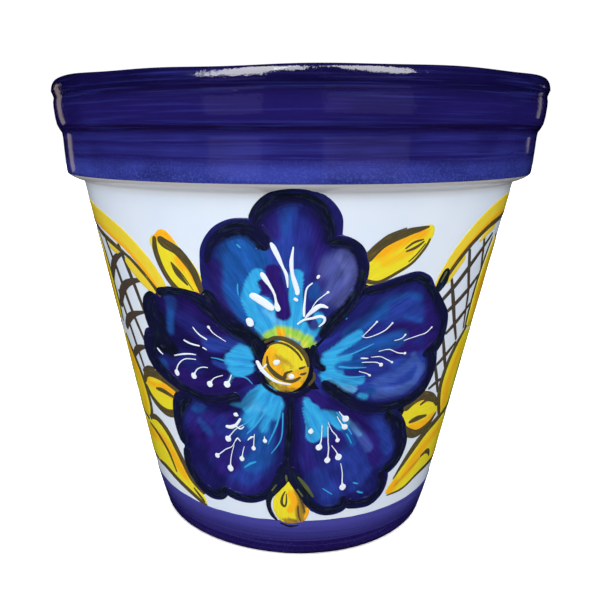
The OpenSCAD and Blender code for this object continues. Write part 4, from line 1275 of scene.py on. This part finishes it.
def settle_front_and_back(piece, part, slot, node, finish):
    """The flower is painted once flat, then laid on the front and on the back."""
    back = copy_of(piece, "back_" + part)
    piece.name = piece.data.name = "front_" + part
    for each, side, turn in ((piece, "front", 0.0), (back, "back", math.pi)):
        settle(each, turn, slot, [f"{side}_{node}"] if node else [], finish)


def flower_strokes(part, rows, lift, thick, colour, slot, finish, node=None, under=None):
    """Strokes of one colour on the front and the back flower."""
    piece = flat_strokes(part, rows, lift, thick, colour, under)
    settle_front_and_back(piece, part, slot, node, finish)


def joined(parts, name):
    deselect()
    for part in parts:
        part.select_set(True)
    bpy.context.view_layer.objects.active = parts[0]
    if len(parts) > 1:
        bpy.ops.object.join()
    piece = bpy.context.object
    piece.name = piece.data.name = name
    return piece


def with_mirror_image(piece, middle):
    """Joins a flat piece to its own mirror image on the other side of the panel's middle."""
    name = piece.name
    twin = copy_of(piece, name + "_twin")
    bpy.ops.object.mode_set(mode="EDIT")
    bpy.ops.mesh.select_all(action="SELECT")
    bpy.ops.transform.resize(value=(-1, 1, 1), center_override=(middle * MM, 0, 0))
    bpy.ops.mesh.flip_normals()
    bpy.ops.object.mode_set(mode="OBJECT")
    return joined([piece, twin], name)


def turned_piece(name, section, slot, node, finish, ragged_top=0.0):
    """A piece turned on the wheel, with the wall's waver and the lip's wobble."""
    sizes = bpy.context.scene.flowerpot_sizes
    piece = lathe(name, section, sizes.turns)
    at = coords(piece.data) / MM
    turn = np.arctan2(at[:, 0], -at[:, 1])
    radius = np.hypot(at[:, 0], at[:, 1])
    z = at[:, 2].copy()
    grown = radius + waver(turn, z) * smoothstep(40, 70, radius)
    wobble = smoothstep(205, 228, z) * sizes.lip_wobble / MM
    grown += wobble * waves(turn, (0.4, 4, 1), (0.25, 11, 0), (0.2, 17, 2))
    z += wobble * waves(turn, (0.7, 2, -1.5), (0.4, 5, 0), (0.25, 13, 0.6))
    if ragged_top:
        top = z.max()
        z += smoothstep(top - 3, top - 1, z) * ragged_top * waves(
            turn, (1, 3, 0), (0.6, 7, 1), (0.35, 19, 2), (0.25, 43, 0))
    away = grown / np.maximum(radius, 1e-6)
    set_coords(piece.data, np.column_stack([at[:, 0] * away, at[:, 1] * away, z]) * MM)
    only(piece)
    bpy.ops.object.shade_smooth_by_angle(angle=math.radians(50))
    finish_piece(piece, material(finish), slot, node)


def arc_points(along, up, r, start, end, steps):
    """Points on an arc about (along, up), from one angle in degrees to another."""
    angles = np.radians(np.linspace(start, end, steps + 1))
    return [(along + r * math.cos(a), up + r * math.sin(a)) for a in angles]


def inside_r(z):
    """Radius of the bare inside: the wall's, less clay and glaze."""
    return wall_r(z) - 9.6


# Sections of the coats, as (radius, height).
WALL_LINE = [(wall_r(z), z) for z in np.linspace(BAND_TOP - 1, WALL_TOP - 0.8, 24)]
COLLAR_LINE = [
    (119.8, 186.8), (120.1, 188.4), (120.4, 192), (120.7, 197), (121, 203.6), (121.3, 206),
    (122.3, 207.5), (123.4, 209.8), (124, 213), (124.35, 217.4), (124.35, 220), (124.05, 221.2),
    (123.95, 221.9), (124.25, 222.8), (124.7, 224.2)]
LIP_WIDE, LIP_HIGH, LIP_ROUND = 3.2, 6, 4
GLAZED_R = inside_r(POT_H) - 0.6            # the collar's glaze where it turns down inside
LIP_LINE = (
    [(RIM_R - LIP_WIDE + LIP_WIDE * math.cos(t), POT_H - LIP_HIGH + LIP_HIGH * math.sin(t))
     for t in np.radians(np.arange(6, 91, 7))]
    + arc_points(GLAZED_R + LIP_ROUND, POT_H - LIP_ROUND, LIP_ROUND, 95, 175, 8)
    + [(inside_r(z) - 0.6, z) for z in (220, 214, 208, 203, 199)])
FLOOR_TOP, FLOOR_ROUND = 12, 9
DRAIN_R = 12


def coat(outside, depth):
    """A closed section for a coat of glaze: its outside, then back down its inside."""
    line = np.array(outside)
    way = np.gradient(line, axis=0)
    way /= np.linalg.norm(way, axis=1)[:, None]
    inner = line + depth * np.column_stack([-way[:, 1], way[:, 0]])
    return list(line) + list(inner[::-1])


def build_body():
    rings = bpy.context.scene.flowerpot_sizes.throwing_rings / MM
    floor_edge = FLOOR_TOP + FLOOR_ROUND
    outside = (arc_points(72, 3, 3, -90, -11, 5)
               + [(wall_r(z) - 0.5, z) for z in np.linspace(5, WALL_TOP, 24)]
               + [(117.4, 185.8), (120, 190), (120.5, 204), (123.4, 213), (123.6, 222)]
               + arc_points(RIM_R - 5, POT_H - 5, 4.5, 10, 90, 5)
               + arc_points(GLAZED_R + LIP_ROUND, POT_H - LIP_ROUND, 3.5, 95, 175, 5))
    inner = [(inside_r(z) + rings * math.sin(z * 0.42 + 0.7 * math.sin(z * 0.07)), z)
             for z in np.linspace(196, floor_edge + 2, 90)]
    floor = arc_points(inside_r(floor_edge) - FLOOR_ROUND, floor_edge, FLOOR_ROUND, 0, -90, 7)
    ripple = [(r, FLOOR_TOP + 0.5 * rings * math.sin(r * 0.5)) for r in np.linspace(54, 16, 20)]
    drain = (arc_points(DRAIN_R + 2, FLOOR_TOP - 2, 2, 90, 180, 3) + [(DRAIN_R, 4.5)]
             + arc_points(DRAIN_R + 1.5, 3.5, 1.5, 180, 270, 3))
    under = [(40, 2), (60.6, 2), (62.4, 0.5), (63.4, 0)]
    turned_piece("clay_body", outside + inner + floor + ripple + drain + under,
                 "terracotta", "clay_pot", "red_earthenware")


def build_glazes():
    turned_piece("white_coat", coat(WALL_LINE + UNDER_LINE, 0.6),
                 "white_glaze", "wall_glaze", "tin_white_glaze")
    turned_piece("rim_coat", coat(COLLAR_LINE + LIP_LINE, 0.5),
                 "cobalt_glaze", "rim_glaze", "brushed_cobalt_glaze")
    foot = ([(72.9, 0.1), (74.2, 0.4), (75, 1.2), (75.4, 2.8)]
            + [(wall_r(z) + 0.2, z) for z in np.linspace(5, BAND_TOP - 0.6, 10)]
            + [(wall_r(BAND_TOP + 0.1) + 0.12, BAND_TOP + 0.1),
               (wall_r(BAND_TOP + 0.4) - 0.02, BAND_TOP + 0.4)])
    turned_piece("foot_coat", coat(foot, 0.5),
                 "cobalt_glaze", "foot_glaze", "brushed_foot_glaze", 0.35)


def inside_outline(points, outline):
    """Whether each point lies inside a closed outline."""
    x, y = points[:, 0], points[:, 1]
    within = np.zeros(len(points), bool)
    for (ax, ay), (bx, by) in zip(outline, np.roll(outline, -1, axis=0)):
        if ay != by:
            within ^= ((ay > y) != (by > y)) & (x < (bx - ax) * (y - ay) / (by - ay) + ax)
    return within


def outer_edge(petal):
    """The part of a petal's outline that isn't close to the flower's eye."""
    rim = lobed(petal["edge"], 1.5)
    return rim[np.linalg.norm(rim - FLOWER_EYE, axis=1) > 30]


def petal_colour_beside(flat, own):
    """What a line on the petals bleeds into: the wash beside it, or its own colour off them."""
    colours = own.copy()
    for petal in PETALS.values():
        within = inside_outline(flat, lobed(petal["edge"]))
        if within.any():
            colours[within] = washed(flat[within], petal["base"], petal["washes"],
                                     edge=outer_edge(petal))
    return colours


def build_petals():
    for name, petal in PETALS.items():
        part = "petal_" + name
        edge = lobed(petal["edge"], 1.0)
        piece = flat_patch(part, edge, 0.85)
        dress_patch(piece, petal["base"], petal["washes"], 0.16, None, len(edge),
                    outer_edge(petal))
        settle_front_and_back(piece, part, "blue_paint", part, "petal_blue_underglaze")


def build_outlines():
    edge = curve(GROUND, 1.5, closed=True)
    ground = flat_patch("ground", edge, 2)
    dress_patch(ground, "ink", [], 0.11, [(0, 50), (0, 150)], len(edge))
    settle_front_and_back(ground, "ground", "dark_paint", None, "petal_blue_underglaze")
    rows = [[(along, up, OUTLINE_WEIGHT * width) for along, up, width in points]
            for points in OUTLINES + EYE_RIM]
    flower_strokes("outline", rows, 0.18, 0.08, "ink", "dark_paint", "outline_underglaze",
                   "outline", petal_colour_beside)


def build_pistils():
    flower_strokes("light_streaks", STREAKS, 0.17, 0.03, "sky", "blue_paint",
                   "streak_underglaze", under=petal_colour_beside)
    dotted = [pistil(path, dot, line) for dot, line, path in PISTILS]
    flower_strokes("white_strokes", WHITES + EYE_WHITES + dotted, 0.34, 0.14, "slip",
                   "white_glaze", "white_slip")


def build_eye():
    outline = [(0.4 + 10.2 * math.cos(a), 107.2 + 13 * math.sin(a))
               for a in np.arange(80) * math.tau / 80]
    piece = flat_patch("eye", outline, 0.8)
    dress_patch(piece, "gold", EYE_WASHES, 0.31, [(1, 95), (1, 120)], len(outline))
    settle_front_and_back(piece, "eye", "yellow_paint", "eye", "leaf_yellow_underglaze")
    flower_strokes("eye_lines", EYE_LINES, 0.33, 0.06, "olive", "dark_paint",
                   "olive_underglaze")


def leaf_patches(leaves, spacing, step):
    """Flat yellow leaves, from their (outline, brush axis, washes)."""
    parts = []
    for outline, axis, washes in leaves:
        edge = curve(outline, spacing, closed=True)
        part = flat_patch("leaf", edge, step)
        dress_patch(part, "lemon", washes, 0.14, axis, len(edge))
        parts.append(part)
    return parts


def build_leaves():
    leaves = joined(leaf_patches(LEAVES, 1.0, 0.9), "leaves")
    settle_front_and_back(leaves, "leaves", "yellow_paint", "leaves", "leaf_yellow_underglaze")
    for part, rows, lift, thick, colour, slot, finish in (
            ("leaf_lines", LEAF_LINES, 0.16, 0.06, "olive", "olive_paint", "olive_underglaze"),
            ("dark_touches", DARK_LINES, 0.28, 0.04, "pine", "dark_paint", "outline_underglaze"),
            ("green_touches", GREEN_LINES, 0.31, 0.03, "moss", "olive_paint", "olive_underglaze")):
        flower_strokes(part, rows, lift, thick, colour, slot, finish)


def build_side(side):
    """One side panel: drawn beside the front flower, and mirrored beside the back one."""
    data = SIDES[side]
    way = 1 if side == "right" else -1
    middle = way * SIDE_MIDDLE

    def strokes(part, rows, lift, thick, colour):
        return with_mirror_image(flat_strokes(part, rows, lift, thick, colour, None), middle)

    arch, lattice, palmette = (f"{side}_{part}" for part in ("arch", "lattice", "palmette"))
    bands = [flat_strokes("band", data["arch"], 0.14, 0.05, "straw", None),
             flat_strokes("glow", data["arch_glow"], 0.155, 0.05, "amber", None)]
    bands = with_mirror_image(joined(bands, arch), middle)
    settle(bands, 0, "yellow_paint", [arch], "yellow_brush_underglaze")
    lines = strokes(arch + "_lines", data["arch_lines"], 0.18, 0.06, "olive")
    settle(lines, 0, "olive_paint", [], "olive_underglaze")
    bars = strokes(lattice, data["lattice"], 0.1, 0.05, "bark")
    settle(bars, 0, "olive_paint", [lattice], "lattice_underglaze")
    outline, axis, washes = BUD
    bud = (moved(outline, middle), moved(axis, middle),
           [(*wash, moved(path, middle)) for *wash, path in washes])
    *fronds, bud = leaf_patches(data["leaves"] + [bud], 1.2, 1.1)
    fronds = with_mirror_image(joined(fronds, palmette), middle)
    settle(joined([fronds, bud], palmette), 0, "yellow_paint", [palmette],
           "leaf_yellow_underglaze")
    far = [[(way * along, up, width) for along, up, width in points] for points in FAR_LINES]
    rows = data["lines"] + far + [moved(BUD_LINE, middle)]
    lines = strokes(palmette + "_lines", rows, 0.16, 0.06, "olive")
    settle(lines, 0, "olive_paint", [], "olive_underglaze")


# ---- the stage ----------------------------------------------------------------------------------
# Lights: name, place, what it points at, width and height, watts, colour, and whether it adds
# only to the gloss. The others light the paint and stay out of the reflections.

KEY, ROOM = (1, 0.99, 0.97), (0.55, 0.5, 1)
LIGHTS = [
    ("front_key", (0.7, -1.4, 0.9), (0, 0, 0.12), (1.1, 0.9), 14.5, KEY, False),
    ("left_fill", (-1.3, -1.0, 0.5), (0, 0, 0.16), (1.2, 0.8), 10, (1, 0.99, 0.98), False),
    ("back_key", (-0.6, 1.4, 1.2), (0, 0, 0.12), (1.1, 0.9), 16, KEY, False),
    ("high_window_left", (-0.29, -0.57, 1.02), (0, 0, 0.23), (0.38, 0.95), 10, (1, 1, 1), True),
    ("high_window_middle", (-0.03, -0.55, 0.98), (0, 0, 0.23), (0.22, 0.4), 2.2, (1, 1, 1), True),
    ("high_window_right", (0.47, -0.46, 1.0), (0, 0, 0.23), (0.38, 0.75), 7, (1, 1, 1), True),
    ("left_card", (-0.8, 0.62, 0.23), (-0.1, 0, 0.2), (0.13, 0.3), 0.06, (1, 0.8, 0.66), True),
    ("right_card", (0.78, 0.66, 0.25), (0.1, 0, 0.2), (0.08, 0.2), 0.02, (1, 0.88, 0.8), True),
    ("room_left", (-0.47, -1.08, 0.17), (0, 0, 0.2), (0.46, 0.62), 0.3, ROOM, True),
    ("room_right", (0.62, -1.0, 0.17), (0, 0, 0.2), (0.8, 0.62), 0.48, ROOM, True),
]
CAMERA_PLACE = (0.01465, -0.3776, 0.2047)
CAMERA_PITCH = math.radians(13.58)          # how far the camera looks down
CAMERA_HEADING = (-0.0832, 0.9965)          # which way it looks, in X and Y


def aim(thing, way):
    thing.rotation_euler = way.to_track_quat("-Z", "Y").to_euler()


def area_light(name, place, target, size, power, colour, in_gloss):
    deselect()
    bpy.ops.object.light_add(type="AREA", location=place)
    light = bpy.context.object
    light.name = name
    light.data.shape = "RECTANGLE"
    light.data.size, light.data.size_y = size
    light.data.energy = power
    light.data.color = colour
    light.visible_glossy = in_gloss
    light.visible_diffuse = not in_gloss
    light.visible_camera = False
    aim(light, Vector(target) - light.location)
    return light


def white_to_camera(tree, lit, brightness):
    """A colour that is white where the camera sees it, and as lit for all other light."""
    seen = add(tree, "LightPath", out="Is Camera Ray")
    return add(tree, "Mix", {0: seen, 6: lit, 7: rgba(brightness)}, **MIX)


def build_stage():
    scene = bpy.context.scene
    scene.view_settings.view_transform = "Standard"
    # The backdrop looks white, but throws a softer grey light on the pot.
    scene.world = bpy.data.worlds.new("studio")
    scene.world.use_nodes = True
    tree = scene.world.node_tree
    way = add(tree, "SeparateXYZ", {0: add(tree, "TexCoord", out="Generated")}, out="X")
    side = add(tree, "MapRange", {0: way, 1: -1.0, 2: 1.0, 3: 0.56, 4: 0.62})
    backdrop = tree.nodes["Background"]
    tree.links.new(white_to_camera(tree, side, 1.0), backdrop.inputs["Color"])
    backdrop.inputs["Strength"].default_value = 1.02
    scene.world.cycles_visibility.glossy = False
    lights = [area_light(*row) for row in LIGHTS]
    deselect()
    bpy.ops.object.light_add(type="SUN", location=(0, 0, 2))
    downlight = bpy.context.object
    downlight.name = "downlight"
    downlight.data.energy = 0.6
    downlight.data.angle = math.radians(120)
    downlight.visible_glossy = False
    lights.append(downlight)
    deselect()
    bpy.ops.mesh.primitive_circle_add(vertices=96, radius=5, fill_type="NGON",
                                      location=(0, 0, -0.0005))
    table_top = bpy.context.object
    table_top.name = table_top.data.name = "table_top"
    table_top.visible_glossy = False
    paint, tree = new_material("white_backdrop", 0.9, 0.2)
    cloud = grain(tree, add(tree, "TexCoord", out="Object"), 3, 2)
    lit = add(tree, "ValToRGB", {"Fac": cloud}, stops=[(0.3, 0.44), (0.7, 0.46)])
    tree.links.new(white_to_camera(tree, lit, 2.0),
                   tree.nodes["Principled BSDF"].inputs["Base Color"])
    table_top.data.materials.append(paint)
    deselect()
    bpy.ops.object.camera_add(location=CAMERA_PLACE)
    camera = bpy.context.object
    camera.name = "view"
    level = math.cos(CAMERA_PITCH)
    aim(camera, Vector((*(share * level for share in CAMERA_HEADING), -math.sin(CAMERA_PITCH))))
    camera.data.lens = 40.9
    camera.data.sensor_width = 36
    camera.data.shift_x = 0.059
    camera.data.clip_start = 0.01
    camera.data.dof.use_dof = False
    scene.camera = camera


# ---- the add-on ---------------------------------------------------------------------------------

class FLOWERPOT_OT_body(bpy.types.Operator):
    """Builds the bare clay body with its throwing rings and drain hole."""
    bl_idname = "flowerpot.body"
    bl_label = "Clay Body"

    def execute(self, context):
        build_body()
        return {"FINISHED"}


class FLOWERPOT_OT_glazes(bpy.types.Operator):
    """Coats the wall, the collar and the foot with glaze."""
    bl_idname = "flowerpot.glazes"
    bl_label = "Glazes"

    def execute(self, context):
        build_glazes()
        return {"FINISHED"}


class FLOWERPOT_OT_petals(bpy.types.Operator):
    """Washes the blue petals of the front and back flowers."""
    bl_idname = "flowerpot.petals"
    bl_label = "Petals"

    def execute(self, context):
        build_petals()
        return {"FINISHED"}


class FLOWERPOT_OT_outlines(bpy.types.Operator):
    """Draws the dark lines round the petals."""
    bl_idname = "flowerpot.outlines"
    bl_label = "Outlines"

    def execute(self, context):
        build_outlines()
        return {"FINISHED"}


class FLOWERPOT_OT_pistils(bpy.types.Operator):
    """Adds the light streaks and the white slip strokes and dots."""
    bl_idname = "flowerpot.pistils"
    bl_label = "Pistils"

    def execute(self, context):
        build_pistils()
        return {"FINISHED"}


class FLOWERPOT_OT_eyes(bpy.types.Operator):
    """Paints the yellow eye of each flower."""
    bl_idname = "flowerpot.eyes"
    bl_label = "Eyes"

    def execute(self, context):
        build_eye()
        return {"FINISHED"}


class FLOWERPOT_OT_leaves(bpy.types.Operator):
    """Paints the yellow leaves between the petals."""
    bl_idname = "flowerpot.leaves"
    bl_label = "Leaves"

    def execute(self, context):
        build_leaves()
        return {"FINISHED"}


class FLOWERPOT_OT_sides(bpy.types.Operator):
    """Paints the arch, the lattice and the palmette of each side."""
    bl_idname = "flowerpot.sides"
    bl_label = "Sides"

    def execute(self, context):
        build_side("right")
        build_side("left")
        return {"FINISHED"}


class FLOWERPOT_OT_stage(bpy.types.Operator):
    """Sets up the white backdrop, the lights and the camera."""
    bl_idname = "flowerpot.stage"
    bl_label = "Stage"

    def execute(self, context):
        build_stage()
        return {"FINISHED"}


OPERATORS = (FLOWERPOT_OT_body, FLOWERPOT_OT_glazes, FLOWERPOT_OT_petals, FLOWERPOT_OT_outlines,
             FLOWERPOT_OT_leaves, FLOWERPOT_OT_eyes, FLOWERPOT_OT_pistils, FLOWERPOT_OT_sides,
             FLOWERPOT_OT_stage)


class FLOWERPOT_PT_panel(bpy.types.Panel):
    """The flowerpot's sizes, colours and pieces."""
    bl_label = "Flowerpot"
    bl_idname = "FLOWERPOT_PT_panel"
    bl_space_type = "VIEW_3D"
    bl_region_type = "UI"
    bl_category = "Flowerpot"

    def draw(self, context):
        sizes = context.scene.flowerpot_sizes
        colours = context.scene.flowerpot_colours
        for key in ("turns", "lip_wobble", "throwing_rings"):
            self.layout.prop(sizes, key)
        for key in PALETTE:
            self.layout.prop(colours, key)
        for operator in OPERATORS:
            self.layout.operator(operator.bl_idname)


CLASSES = (FlowerpotColours, FlowerpotSizes, *OPERATORS, FLOWERPOT_PT_panel)


def register():
    for each in CLASSES:
        bpy.utils.register_class(each)
    bpy.types.Scene.flowerpot_sizes = bpy.props.PointerProperty(type=FlowerpotSizes)
    bpy.types.Scene.flowerpot_colours = bpy.props.PointerProperty(type=FlowerpotColours)


def unregister():
    del bpy.types.Scene.flowerpot_colours
    del bpy.types.Scene.flowerpot_sizes
    for each in reversed(CLASSES):
        bpy.utils.unregister_class(each)


def main():
    register()
    for operator in OPERATORS:
        group, name = operator.bl_idname.split(".")
        getattr(getattr(bpy.ops, group), name)()


if __name__ == "__main__":
    main()
